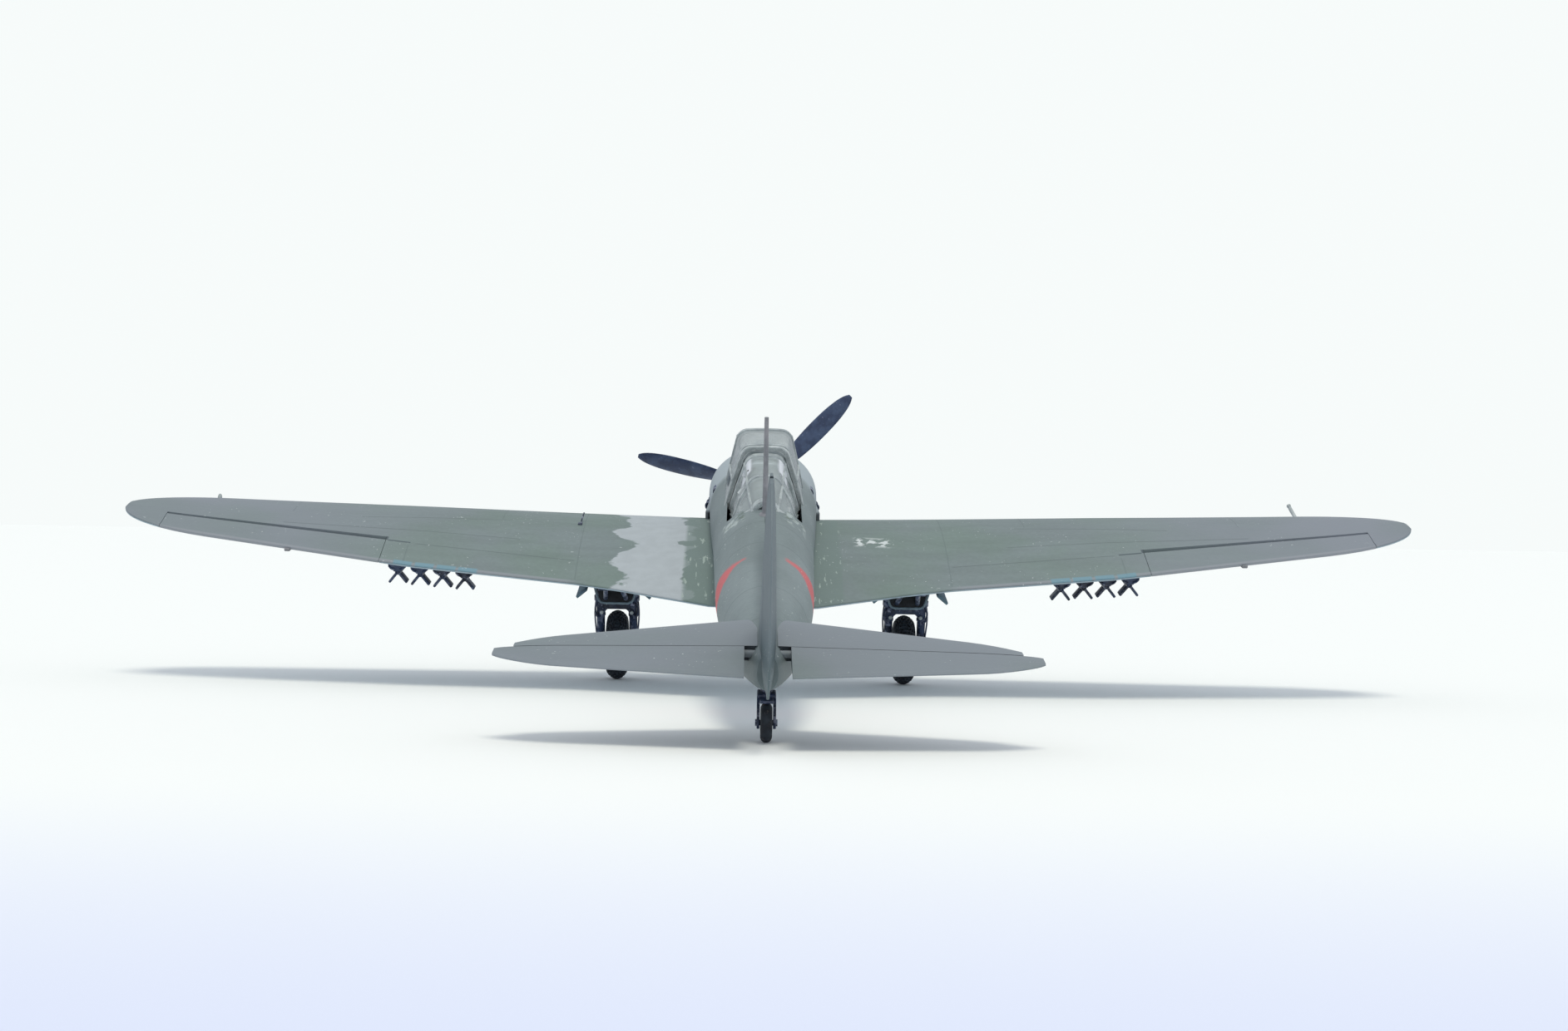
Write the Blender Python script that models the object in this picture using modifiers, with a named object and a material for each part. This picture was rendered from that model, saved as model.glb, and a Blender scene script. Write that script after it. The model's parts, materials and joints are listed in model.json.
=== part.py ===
"""Plastic scale model of a single-seat, low-wing attack aircraft with a three-blade propeller.

It stands on its wheels on z = 0 with its nose towards -Y, its port wing towards +X and +Z up.
Every piece is drawn in the airframe's own axes, in millimetres: x to port, s aft from the
spinner's tip along the propeller shaft, and h above the shaft.  One empty, "airframe", holds
those axes at the ground angle, nose up on the main wheels with the tail wheel down.
"""
import math

import bmesh
import bpy
from mathutils import Matrix, Vector

MM = 0.001

# ---- driving dimensions, in millimetres and degrees ----
GROUND_ANGLE = 12.0        # nose-up attitude on its wheels
SHAFT_HEIGHT = 34.25       # height of the spinner's tip above the ground
TAIL_END = (161.0, 15.7)   # rudder trailing edge, aft of the spinner's tip and above the shaft
HALF_SPAN = 102.1
SIDES = (("left", 1), ("right", -1))
GAP = 0.1                  # clearance between glued pieces
WALL = 1.1                 # moulded skin thickness

# wing: distance from the centreline, leading edge, trailing edge
WING_PLAN = ((3.5, 33.0, 80.5), (8.0, 33.0, 80.0), (14.0, 33.0, 77.4), (21.0, 33.0, 74.4),
             (28.5, 33.0, 71.9), (54.0, 35.3, 69.4), (HALF_SPAN, 39.7, 57.4))
WING_HEIGHT = -2.7         # of the leading edge at the root
WING_INCIDENCE = 1.5
WING_PANEL_JOINT = 28.5    # where the outer panel meets the centre section
WING_TIP_START = 86.0
TIP_ROUNDNESS = 2.5        # exponent of the tip's outline; 2 would be an ellipse
TIP_CENTRE = 0.66          # chord fraction that the tip's outline closes on
TIP_LIFT = 0.075           # rise of the mean line for each millimetre of chord that the tip loses
INNER_DIHEDRAL = 2.2
OUTER_DIHEDRAL = 3.6
WING_THICKNESS = (0.15, 0.11)
WING_CAMBER = 0.03
WING_SEAM = 0.05           # glue gap between upper and lower skins

AILERON_INNER = 58.8
AILERON_OUTER = 95.0
HINGE_AT_INNER = 61.1      # s of the hinge axis at the aileron's inner end
HINGE_AT_OUTER = 53.7
HINGE_GAP = 0.15

# fuselage: s, half width, top, bottom, height of the widest line
HULL = ((8.9, 4.7, 4.7, -4.7, 0.0), (13.0, 5.9, 6.8, -5.8, 0.5), (19.0, 7.1, 8.9, -6.6, 2.1),
        (26.0, 8.3, 10.4, -7.1, 3.8), (35.0, 8.8, 11.3, -7.3, 4.5), (46.0, 8.6, 11.5, -7.3, 4.1),
        (58.0, 8.2, 11.6, -7.2, 3.3), (70.0, 7.6, 11.3, -6.8, 2.6), (80.0, 7.3, 10.5, -6.2, 2.2),
        (92.0, 7.0, 9.8, -5.1, 2.0), (104.0, 6.6, 9.2, -3.9, 2.0), (116.0, 5.8, 8.7, -2.5, 2.3),
        (128.0, 4.6, 8.2, -0.8, 2.8), (138.0, 3.4, 7.9, 0.9, 3.6), (146.0, 2.0, 7.7, 2.5, 4.6),
        (148.6, 1.2, 7.6, 3.3, 5.2))

SPINNER_LENGTH = 8.6
SPINNER_RADIUS = 4.6
PROP_PLANE = 6.5
FIRST_BLADE = 46.8         # degrees above starboard, seen from behind
SHAFT_RADIUS = 0.95

COCKPIT = (48.5, 77.0)
SILL_HALF_WIDTH = 5.6
HOOD = (54.1, 66.0)
CANOPY_WALL = 0.45

GEAR_TRACK = 47.2
WHEEL_RADIUS = 5.7
TYRE_WIDTH = 3.5
AXLE_AT = 43.3
LEG_SPACING = 5.35         # between the centres of one wheel's two legs
LEG_RADIUS = 0.68

TAIL_WHEEL_AT = 144.0
TAIL_WHEEL_RADIUS = 2.35
TAIL_WHEEL_WIDTH = 1.4
TAIL_SWIVEL_AT = 141.4

TAILPLANE_HALF_SPAN = 32.45
TAILPLANE_HEIGHT = 6.5
TAIL_TIP_START = 24.0
ELEVATOR_HINGE = 144.4
RUDDER_HINGE = 149.6

ROCKETS_AT = (47.7, 51.3, 54.9, 58.5)
ROCKET_DROP = 4.8          # below the wing's lower skin
ROCKET_RADIUS = 0.57
ROCKET_FINS = 4.2          # tip to tip
ROCKET_TAIL = 52.0

# ---- colours: red, green, blue, roughness, metallic ----
GREEN = (0.23, 0.26, 0.255, 0.6, 0.0)
BLUE = (0.35, 0.43, 0.46, 0.6, 0.0)
DARK = (0.03, 0.06, 0.11, 0.5, 0.0)
BLACK = (0.02, 0.025, 0.035, 0.7, 0.0)
STEEL = (0.32, 0.33, 0.34, 0.4, 0.8)
CLEAR = (0.62, 0.68, 0.7, 0.15, 0.0)
COCKPIT_GREY = (0.3, 0.34, 0.36, 0.6, 0.0)


def ground_axle_height(s, radius):
    """Height over the shaft line of an axle at s whose wheel touches the ground."""
    angle = math.radians(GROUND_ANGLE)
    return (radius - SHAFT_HEIGHT + s * math.sin(angle)) / math.cos(angle)


AXLE_HEIGHT = ground_axle_height(AXLE_AT, WHEEL_RADIUS)
TAIL_AXLE_HEIGHT = ground_axle_height(TAIL_WHEEL_AT, TAIL_WHEEL_RADIUS)


# ---- scene, collections and materials ----
def clear_scene():
    for item in list(bpy.data.objects):
        bpy.data.objects.remove(item, do_unlink=True)


def new_collection(name):
    collection = bpy.data.collections.new(name)
    bpy.context.scene.collection.children.link(collection)
    return collection


clear_scene()
PARTS = new_collection("propeller_plane_model")
CUTTERS = new_collection("cutters")


def make_airframe():
    """The empty that carries the airframe's axes: nose up, origin under the middle."""
    angle = math.radians(GROUND_ANGLE)
    rudder_reach = TAIL_END[0] * math.cos(angle) + TAIL_END[1] * math.sin(angle)
    empty = bpy.data.objects.new("airframe", None)
    empty.location = (0.0, -rudder_reach / 2.0 * MM, SHAFT_HEIGHT * MM)
    empty.rotation_euler = (-angle, 0.0, 0.0)
    PARTS.objects.link(empty)
    return empty


AIRFRAME = make_airframe()


def paint(obj, look):
    red, green, blue, roughness, metallic = look
    material = bpy.data.materials.new(obj.name)
    material.use_nodes = True
    shader = material.node_tree.nodes["Principled BSDF"]
    shader.inputs["Base Color"].default_value = (red, green, blue, 1.0)
    shader.inputs["Roughness"].default_value = roughness
    shader.inputs["Metallic"].default_value = metallic
    obj.data.materials.append(material)


def place(obj, look, origin=(0.0, 0.0, 0.0)):
    """Put a new object in the airframe's axes; no look makes it a hidden cutter."""
    obj.parent = AIRFRAME
    obj.location = Vector(origin) * MM
    if look is None:
        CUTTERS.objects.link(obj)
        obj.hide_render = True
        obj.display_type = "WIRE"
    else:
        PARTS.objects.link(obj)
        paint(obj, look)
    return obj


# ---- shape helpers; every length is in millimetres ----
def finish_mesh(name, bm, look, origin=(0.0, 0.0, 0.0), sharp=35.0):
    """Turn a bmesh drawn in airframe millimetres into an object with the given origin."""
    bmesh.ops.translate(bm, verts=bm.verts, vec=-Vector(origin))
    bmesh.ops.scale(bm, verts=bm.verts, vec=(MM, MM, MM))
    bmesh.ops.recalc_face_normals(bm, faces=bm.faces)
    mesh = bpy.data.meshes.new(name)
    bm.to_mesh(mesh)
    bm.free()
    mesh.shade_smooth()
    mesh.set_sharp_from_angle(angle=math.radians(sharp))
    return place(bpy.data.objects.new(name, mesh), look, origin)


def loft(name, rings, look, origin=(0.0, 0.0, 0.0)):
    """A closed solid through unlike sections; both ends are capped."""
    bm = bmesh.new()
    rows = [[bm.verts.new(point) for point in ring] for ring in rings]
    count = len(rows[0])
    for near, far in zip(rows, rows[1:]):
        for i in range(count):
            j = (i + 1) % count
            bm.faces.new((near[i], near[j], far[j], far[i]))
    bm.faces.new(rows[0])
    bm.faces.new(rows[-1])
    return finish_mesh(name, bm, look, origin)


def box(name, centre, size, look, tilt=(0.0, 0.0, 0.0), bevel=0.0, origin=None):
    """A block; tilt is in degrees about its own centre."""
    turn = Matrix.Rotation(math.radians(tilt[2]), 4, "Z")
    turn = turn @ Matrix.Rotation(math.radians(tilt[1]), 4, "Y")
    turn = turn @ Matrix.Rotation(math.radians(tilt[0]), 4, "X")
    bm = bmesh.new()
    bmesh.ops.create_cube(bm, size=1.0)
    matrix = Matrix.Translation(centre) @ turn @ Matrix.Diagonal((*size, 1.0))
    bmesh.ops.transform(bm, verts=bm.verts, matrix=matrix)
    obj = finish_mesh(name, bm, look, centre if origin is None else origin)
    if bevel:
        edges = obj.modifiers.new("edges", "BEVEL")
        edges.width = bevel * MM
        edges.segments = 2
    return obj


def rod(name, start, end, radius, look, end_radius=None, sides=16, origin=(0.0, 0.0, 0.0)):
    """A cylinder or cone between two points."""
    start, end = Vector(start), Vector(end)
    axis = end - start
    bm = bmesh.new()
    bmesh.ops.create_cone(bm, cap_ends=True, segments=sides, radius1=radius,
                          radius2=radius if end_radius is None else end_radius, depth=axis.length)
    turn = axis.to_track_quat("Z", "Y").to_matrix().to_4x4()
    bmesh.ops.transform(bm, verts=bm.verts, matrix=Matrix.Translation((start + end) / 2.0) @ turn)
    return finish_mesh(name, bm, look, origin)


def wire(name, points, radius, look):
    """A round bent wire: a curve object with filled caps."""
    curve = bpy.data.curves.new(name, "CURVE")
    curve.dimensions = "3D"
    curve.bevel_depth = radius * MM
    curve.bevel_resolution = 2
    curve.use_fill_caps = True
    spline = curve.splines.new("POLY")
    spline.points.add(len(points) - 1)
    for target, point in zip(spline.points, points):
        target.co = (*(Vector(point) * MM), 1.0)
    return place(bpy.data.objects.new(name, curve), look)


def plate(name, outline, thickness, look, centre, axes, origin=(0.0, 0.0, 0.0)):
    """A flat outline of given thickness; axes are the plate's own x and y directions."""
    across, along = Vector(axes[0]).normalized(), Vector(axes[1]).normalized()
    normal = across.cross(along)
    curve = bpy.data.curves.new(name, "CURVE")
    curve.dimensions = "2D"
    curve.fill_mode = "BOTH"
    curve.extrude = thickness / 2.0
    spline = curve.splines.new("POLY")
    spline.use_cyclic_u = True
    spline.points.add(len(outline) - 1)
    for target, (u, v) in zip(spline.points, outline):
        target.co = (u, v, 0.0, 1.0)
    flat = bpy.data.objects.new(name + "_outline", curve)
    CUTTERS.objects.link(flat)
    mesh = bpy.data.meshes.new_from_object(flat.evaluated_get(bpy.context.evaluated_depsgraph_get()))
    bpy.data.objects.remove(flat, do_unlink=True)
    bm = bmesh.new()
    bm.from_mesh(mesh)
    bpy.data.meshes.remove(mesh)
    bmesh.ops.remove_doubles(bm, verts=bm.verts, dist=0.001)
    frame = Matrix((across, along, normal)).transposed().to_4x4()
    bmesh.ops.transform(bm, verts=bm.verts, matrix=Matrix.Translation(centre) @ frame)
    return finish_mesh(name, bm, look, origin)


def turned(name, profile, centre, axis, look, steps=32, closed=False):
    """A Screw-turned solid; the profile is (radius, distance along the axis), outer side first."""
    bm = bmesh.new()
    points = [bm.verts.new((radius * MM, 0.0, along * MM)) for radius, along in profile]
    for near, far in zip(points, points[1:]):
        bm.edges.new((near, far))
    if closed:
        bm.edges.new((points[-1], points[0]))
    mesh = bpy.data.meshes.new(name)
    bm.to_mesh(mesh)
    bm.free()
    obj = place(bpy.data.objects.new(name, mesh), look, centre)
    obj.rotation_euler = Vector(axis).to_track_quat("Z", "Y").to_euler()
    screw = obj.modifiers.new("turn", "SCREW")
    screw.steps = steps
    screw.render_steps = steps
    screw.use_merge_vertices = True
    screw.merge_threshold = 0.000001
    screw.use_smooth_shade = True
    return obj


def boolean(obj, operation, tools):
    for tool in tools:
        step = obj.modifiers.new(tool.name, "BOOLEAN")
        step.operation = operation
        step.object = tool
        step.solver = "EXACT"
    return obj


def cut(obj, *tools):
    return boolean(obj, "DIFFERENCE", tools)


def join(obj, *tools):
    return boolean(obj, "UNION", tools)


def read_table(table, at):
    """Smooth (Catmull-Rom) reading of a table whose first column is the position."""
    at = min(max(at, table[0][0]), table[-1][0])
    last = len(table) - 2
    i = next(k for k in range(last + 1) if at <= table[k + 1][0] or k == last)
    before, start, end, after = table[max(i - 1, 0)], table[i], table[i + 1], table[min(i + 2, last + 1)]
    step = end[0] - start[0]
    u = (at - start[0]) / step
    values = []
    for column in range(1, len(start)):
        slope_in = (end[column] - before[column]) / (end[0] - before[0]) * step
        slope_out = (after[column] - start[column]) / (after[0] - start[0]) * step
        values.append((2 * u**3 - 3 * u**2 + 1) * start[column] + (u**3 - 2 * u**2 + u) * slope_in
                      + (3 * u**2 - 2 * u**3) * end[column] + (u**3 - u**2) * slope_out)
    return values


def blend(low, high, share):
    return low + (high - low) * share


# ---- fuselage ----
def hull_point(s, turn, inset=0.0):
    """A point of the fuselage section at s; turn runs from 0 at the top to pi at the bottom."""
    half_width, top, bottom, middle = read_table(HULL, s)
    reach = (top if math.cos(turn) > 0 else bottom) - middle
    reach = math.copysign(abs(reach) - inset, reach)
    return (half_width - inset) * math.sin(turn), s, middle + abs(math.cos(turn)) * reach


def hull_ring(s, grow, sides=32):
    return [hull_point(s, 2 * math.pi * (i + 0.5) / sides, -grow) for i in range(sides)]


def hull_cutter(name, grow):
    """The whole fuselage as a solid, to trim what meets its skin."""
    stations = [9.2, 13, 19, 26, 35, 46, 58, 70, 80, 92, 104, 116, 128, 138, 146, 148.6]
    return loft(name, [hull_ring(s, grow) for s in stations], None)


def half_shell_ring(s, side, hollow=True, sides=12):
    """The C-shaped section of one fuselage half: outer skin down, inner skin back up."""
    turns = [math.pi * i / sides for i in range(sides + 1)]
    wall = min(WALL, 0.4 * read_table(HULL, s)[0])
    outer = [hull_point(s, turn) for turn in turns]
    inner = [hull_point(s, turn, wall) for turn in reversed(turns)]
    if not hollow:
        inner = [(0.0, station, height) for _, station, height in inner]
    return [(side * (x + WING_SEAM / 2), station, height) for x, station, height in outer + inner]


def make_fuselage_half(name, side):
    stations = [8.9, 11, 14, 18, 22.5, 27, 33, 39.5, 46, 53, 61, 70, 79, 88, 97, 106, 115, 123, 130, 136]
    rings = [half_shell_ring(s, side) for s in stations]
    rings += [half_shell_ring(s, side, hollow=False) for s in (139.5, 143, 146, 148.6)]
    shell = loft(name, rings, GREEN)
    return cut(shell, COCKPIT_CUTTER, SWIVEL_CUTTER)


def make_cockpit_cutter():
    front, rear = COCKPIT
    size = (2 * SILL_HALF_WIDTH, rear - front, 20)
    return box("cockpit_opening", (0, (front + rear) / 2, 14), size, None)


def make_swivel_cutter():
    """The hole for the tail wheel's stem."""
    return rod("swivel_hole", (0, TAIL_SWIVEL_AT, -3), (0, TAIL_SWIVEL_AT, 3.0), 0.85, None, sides=14)


def make_nose_plate():
    """The bearing plate that closes the nose round the propeller shaft."""
    profile = [(3.35, 0.5), (3.35, -0.5), (SHAFT_RADIUS + GAP, -0.5), (SHAFT_RADIUS + GAP, 0.5)]
    return turned("nose_plate", profile, (0, 10.0, 0), (0, -1, 0), DARK, closed=True)


def make_air_scoop():
    """The intake fairing on top of the cowl, with an open mouth."""
    stations = ((26.5, 2.2, 1.5), (29.0, 2.35, 1.6), (34.0, 2.2, 1.2), (40.0, 1.7, 0.6), (44.5, 0.9, 0.15))
    rings = []
    for s, half_width, rise in stations:
        top = read_table(HULL, s)[1]
        turns = [math.pi * i / 10 for i in range(11)]
        base, reach = top - 0.8, rise + 0.8
        arch = [(half_width * math.cos(turn), s, base + reach * math.sin(turn)) for turn in turns]
        rings.append([(half_width, s, top - 1.6)] + arch + [(-half_width, s, top - 1.6)])
    cowl_top = read_table(HULL, 27.5)[1]
    mouth = box("scoop_mouth", (0, 27.5, cowl_top + 0.8), (3.1, 4.0, 1.3), None, tilt=(4, 0, 0))
    return cut(loft("air_scoop", rings, GREEN), HULL_GROWN, mouth)


def make_oil_cooler():
    """The belly box for the oil cooler; its flat face is where a stand fits."""
    body = box("oil_cooler", (0, 42.0, -8.4), (6.4, 19.0, 3.6), BLUE, bevel=0.5)
    duct = box("cooler_duct", (0, 34.0, -8.8), (4.9, 8.0, 1.7), None)
    return cut(body, HULL_GROWN, duct)


def make_exhausts(name, side):
    """Six ejector stubs on one strip along the cowl."""
    strip = box(name, (side * 6.8, 24.0, 1.6), (2.4, 17.2, 1.7), DARK, tilt=(0, 0, side * -5.5))
    stubs = []
    for i in range(6):
        s = 16.6 + 2.8 * i
        x = read_table(HULL, s)[0]
        stubs.append(rod(f"{name}_stub_{i}", (side * (x - 0.6), s, 1.6), (side * (x + 0.25), s + 1.9, 1.4),
                         0.95, None, end_radius=0.8, sides=12))
    return cut(join(strip, *stubs), HULL_GROWN)


# ---- canopy and cockpit ----
def canopy_ring(s, top, top_half, base_half, base, wall=0.0):
    """One arch of the canopy: slanted sides, rounded shoulders and a nearly flat top."""
    top, top_half, base_half = top - wall, top_half - wall, base_half - wall
    shoulder = 1.5 - 0.5 * wall
    points = [(base_half, base), (blend(base_half, top_half + 0.35, 0.55), blend(base, top, 0.45))]
    for i in range(4):
        turn = math.radians(12 + 26 * i)
        across = top_half - shoulder * (1 - math.cos(turn)) + 0.2
        points.append((across, top - shoulder * (1 - math.sin(turn)) - 0.08))
    half = [(x, s, height) for x, height in points]
    crown = [(0.0, s, top)]
    return half + crown + [(-x, s, height) for x, s, height in reversed(half)]


def canopy_shell(name, arches):
    """A thin clear shell through arches given as s, top, half widths at top and base, base height."""
    rings = []
    for s, top, top_half, base_half, base in arches:
        outer = canopy_ring(s, top, top_half, base_half, base)
        inner = canopy_ring(s, top, top_half, base_half, base, CANOPY_WALL)
        rings.append(outer + list(reversed(inner)))
    return cut(loft(name, rings, CLEAR), HULL_GROWN)


def make_canopy():
    windscreen = canopy_shell("windscreen", ((47.3, 12.2, 3.0, 5.6, 8.0), (50.6, 16.0, 3.9, 5.9, 8.0),
                                             (52.6, 18.0, 4.15, 6.1, 8.0), (53.9, 18.2, 4.2, 6.2, 8.0)))
    hood = canopy_shell("canopy_hood", ((HOOD[0], 18.25, 4.25, 6.3, 8.0), (60.0, 17.9, 4.0, 6.2, 8.0),
                                        (HOOD[1], 17.4, 3.55, 6.0, 8.0)))
    rear = canopy_shell("rear_glazing", ((66.2, 16.5, 2.9, 5.3, 8.0), (70.0, 15.4, 2.6, 5.0, 8.0),
                                         (75.0, 13.6, 2.2, 4.5, 8.0), (79.5, 11.7, 1.6, 3.8, 8.0)))
    return windscreen, hood, rear


def make_cockpit():
    box("cockpit_floor", (0, 62.5, -0.6), (11.0, 26.0, 0.8), COCKPIT_GREY)
    seat = box("pilot_seat", (0, 64.6, 3.4), (6.0, 0.9, 6.6), COCKPIT_GREY, tilt=(-8, 0, 0))
    pan = box("seat_pan", (0, 62.0, 0.9), (6.0, 5.4, 1.6), None)
    join(seat, pan)
    armour = [(-4.5, 0.0), (4.5, 0.0), (4.5, 8.6), (2.6, 13.6), (1.2, 14.4)]
    armour += [(-x, height) for x, height in reversed(armour[2:])]
    plate("seat_armour", armour, 0.8, COCKPIT_GREY, (0, 68.6, -0.1), ((1, 0, 0), (0, 0.0, 1)))
    panel = [(-4.9, 0.0), (4.9, 0.0), (4.9, 3.2), (3.2, 5.4), (-3.2, 5.4), (-4.9, 3.2)]
    plate("instrument_panel", panel, 0.7, DARK, (0, 51.2, 3.6), ((1, 0, 0), (0, -0.15, 1)))


def make_mast():
    """The wire aerial's mast on the spine."""
    spine = read_table(HULL, 82.5)[1]
    foot, tip = (0, 82.5, spine + 0.15), (0, 80.2, 24.3)
    rod("antenna_mast", foot, tip, 0.48, COCKPIT_GREY, end_radius=0.25, sides=12)


# ---- wing ----
def wing_station(x):
    """Leading edge, trailing edge and height of the wing at a distance from the centreline."""
    inner, outer = next((a, b) for a, b in zip(WING_PLAN, WING_PLAN[1:]) if x <= b[0] or b is WING_PLAN[-1])
    share = (x - inner[0]) / (outer[0] - inner[0])
    front, rear = blend(inner[1], outer[1], share), blend(inner[2], outer[2], share)
    height = WING_HEIGHT + max(0.0, min(x, WING_PANEL_JOINT) - 8.0) * math.tan(math.radians(INNER_DIHEDRAL))
    height += max(0.0, x - WING_PANEL_JOINT) * math.tan(math.radians(OUTER_DIHEDRAL))
    if x > WING_TIP_START:
        share = (x - WING_TIP_START) / (HALF_SPAN - WING_TIP_START)
        round_off = (1.0 - share**TIP_ROUNDNESS) ** (1.0 / TIP_ROUNDNESS)
        height += (rear - front) * (1.0 - round_off) * TIP_LIFT
        centre = blend(front, rear, TIP_CENTRE)
        front, rear = blend(centre, front, round_off), blend(centre, rear, round_off)
    return front, rear, height


def half_thickness(t):
    """Half thickness of a one-unit-thick aerofoil at chord fraction t."""
    return 5 * (0.2969 * math.sqrt(t) - 0.126 * t - 0.3516 * t**2 + 0.2843 * t**3 - 0.1036 * t**4)


def wing_point(x, t, level):
    """A point of the wing: level 1 is the upper surface, 0 the mean line and -1 the lower one."""
    front, rear, height = wing_station(x)
    chord = rear - front
    share = min(1.0, max(0.0, (x - WING_PANEL_JOINT) / (HALF_SPAN - WING_PANEL_JOINT)))
    thickness = blend(*WING_THICKNESS, share) * chord
    mean = WING_CAMBER * 4 * t * (1 - t) * chord
    rise = mean + level * max(half_thickness(t) * thickness, 0.0)
    tilt = math.radians(WING_INCIDENCE)
    return x, front + t * chord * math.cos(tilt) + rise * math.sin(tilt), (
        height - t * chord * math.sin(tilt) + rise * math.cos(tilt))


CHORD_STEPS = [(1 - math.cos(math.pi * i / 12)) / 2 for i in range(13)]
WING_STATIONS = (3.5, 8, 14, 21, 28.5, 41, 54, 65, 76, 86, 91, 95, 98, 100, 101, 101.9)


def skin_ring(x, level):
    """One skin's section: its outer surface, then back along a 1 mm wall or the glue line."""
    outer = []
    inner = []
    for t in CHORD_STEPS:
        face = Vector(wing_point(x, t, level))
        line = Vector(wing_point(x, t, 0)) + Vector((0, 0, level * WING_SEAM / 2))
        edge = line + Vector((0, 0, level * 0.12))
        outer.append(max(face, edge, key=lambda point: level * point.z) if t > 0 else line)
        depth = level * (outer[-1].z - line.z) - WALL
        inner.append(line + Vector((0, 0, level * max(0.0, depth))))
    return outer + list(reversed(inner[1:]))


def mirror_rings(rings, side):
    return [[(side * x, s, height) for x, s, height in ring] for ring in rings]


def make_wing_skin(name, side, level, look, tools):
    rings = [skin_ring(x, level) for x in WING_STATIONS]
    return cut(loft(name, mirror_rings(rings, side), look), HULL_GROWN, *tools)


def hinge_s(x):
    share = (x - AILERON_INNER) / (AILERON_OUTER - AILERON_INNER)
    return blend(HINGE_AT_INNER, HINGE_AT_OUTER, share)


def chord_fraction(x, s):
    front, rear, _ = wing_station(x)
    return (s - front) / (rear - front)


def aileron_ring(x):
    """Round nose about the hinge line, then the wing's own surfaces to the trailing edge."""
    start = chord_fraction(x, hinge_s(x))
    steps = [start, blend(start, 1, 0.35), blend(start, 1, 0.7), 1.0]
    top = [Vector(wing_point(x, t, 1)) for t in steps]
    under = [Vector(wing_point(x, t, -1)) for t in steps]
    top[-1].z += 0.12
    under[-1].z -= 0.12
    centre = (top[0] + under[0]) / 2
    radius = (top[0].z - under[0].z) / 2
    nose = [centre + Vector((0, -radius * math.sin(turn), radius * math.cos(turn)))
            for turn in (math.pi * i / 6 for i in range(1, 6))]
    return list(reversed(top)) + nose + under


def hinge_centre(x):
    ring = aileron_ring(x)
    return (ring[3] + ring[9]) / 2, (ring[3].z - ring[9].z) / 2


def make_aileron(name, side):
    stations = (AILERON_INNER, 70, 78, WING_TIP_START, 91, AILERON_OUTER)
    rings = [aileron_ring(x) for x in stations]
    inner_end = hinge_centre(AILERON_INNER)[0]
    origin = (side * inner_end.x, inner_end.y, inner_end.z)
    return loft(name, mirror_rings(rings, side), GREEN, origin)


def make_aileron_bay(name, side):
    """The space cut from both skins, a hinge gap larger than the aileron all round."""
    near, near_radius = hinge_centre(AILERON_INNER)
    far, far_radius = hinge_centre(AILERON_OUTER)
    inner, outer = AILERON_INNER - HINGE_GAP, AILERON_OUTER + HINGE_GAP
    rings = []
    for x, front in ((inner, near.y - near_radius - HINGE_GAP), (outer, far.y - far_radius - HINGE_GAP)):
        rings.append([(x, front, -12.0), (x, 76.0, -12.0), (x, 76.0, 14.0), (x, front, 14.0)])
    return loft(name, mirror_rings(rings, side), None)


def wing_block(name, side, grow, start=3.5):
    """The closed wing, slightly grown, to trim what hangs under it."""
    rings = []
    for x in (start, 14, 21, 28.5, 41, 54, 65):
        upper = [Vector(wing_point(x, t, 1)) + Vector((0, 0, grow)) for t in CHORD_STEPS]
        lower = [Vector(wing_point(x, t, -1)) - Vector((0, 0, grow)) for t in CHORD_STEPS]
        upper[0].y -= grow
        upper[-1].y += grow
        upper[-1].z += 0.12
        lower[-1].y += grow
        lower[-1].z -= 0.12
        lower[0].y -= grow
        rings.append(upper + list(reversed(lower)))
    return loft(name, mirror_rings(rings, side), None)


# ---- under-wing equipment ----
GEAR_X = GEAR_TRACK / 2
POD = ((26.0, 1.2, -4.8, 1.4), (28.5, 2.7, -4.9, 2.7), (33.0, 3.9, -5.0, 3.9), (40.0, 4.3, -5.0, 4.4),
       (48.0, 4.3, -4.8, 4.3), (54.0, 4.1, -4.5, 3.6), (59.0, 2.8, -4.2, 2.6), (63.0, 1.1, -3.9, 1.3))
BAY = (37.5, 56.0)


def make_gear_pod(name, side, wing):
    """The fairing that the wheel would fold into, open underneath."""
    rings = []
    for s, half_width, middle, reach in POD:
        rings.append([(side * GEAR_X + half_width * math.cos(turn), s, middle + reach * math.sin(turn))
                      for turn in (2 * math.pi * (i + 0.5) / 16 for i in range(16))])
    bay = box(name + "_bay", (side * GEAR_X, sum(BAY) / 2, -9.0), (7.4, BAY[1] - BAY[0], 9.4), None)
    return cut(loft(name, rings, BLUE), wing, bay)


def make_gear_doors(label, side):
    """Two narrow doors, splayed open along the edges of the bay."""
    for place_name, away in (("outer", side), ("inner", -side)):
        x = side * GEAR_X + away * 5.1
        box(f"gear_door_{label}_{place_name}", (x, 46.8, -8.7), (0.5, 15.4, 2.1), BLUE,
            tilt=(0, away * -50, 0), bevel=0.1)


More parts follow.
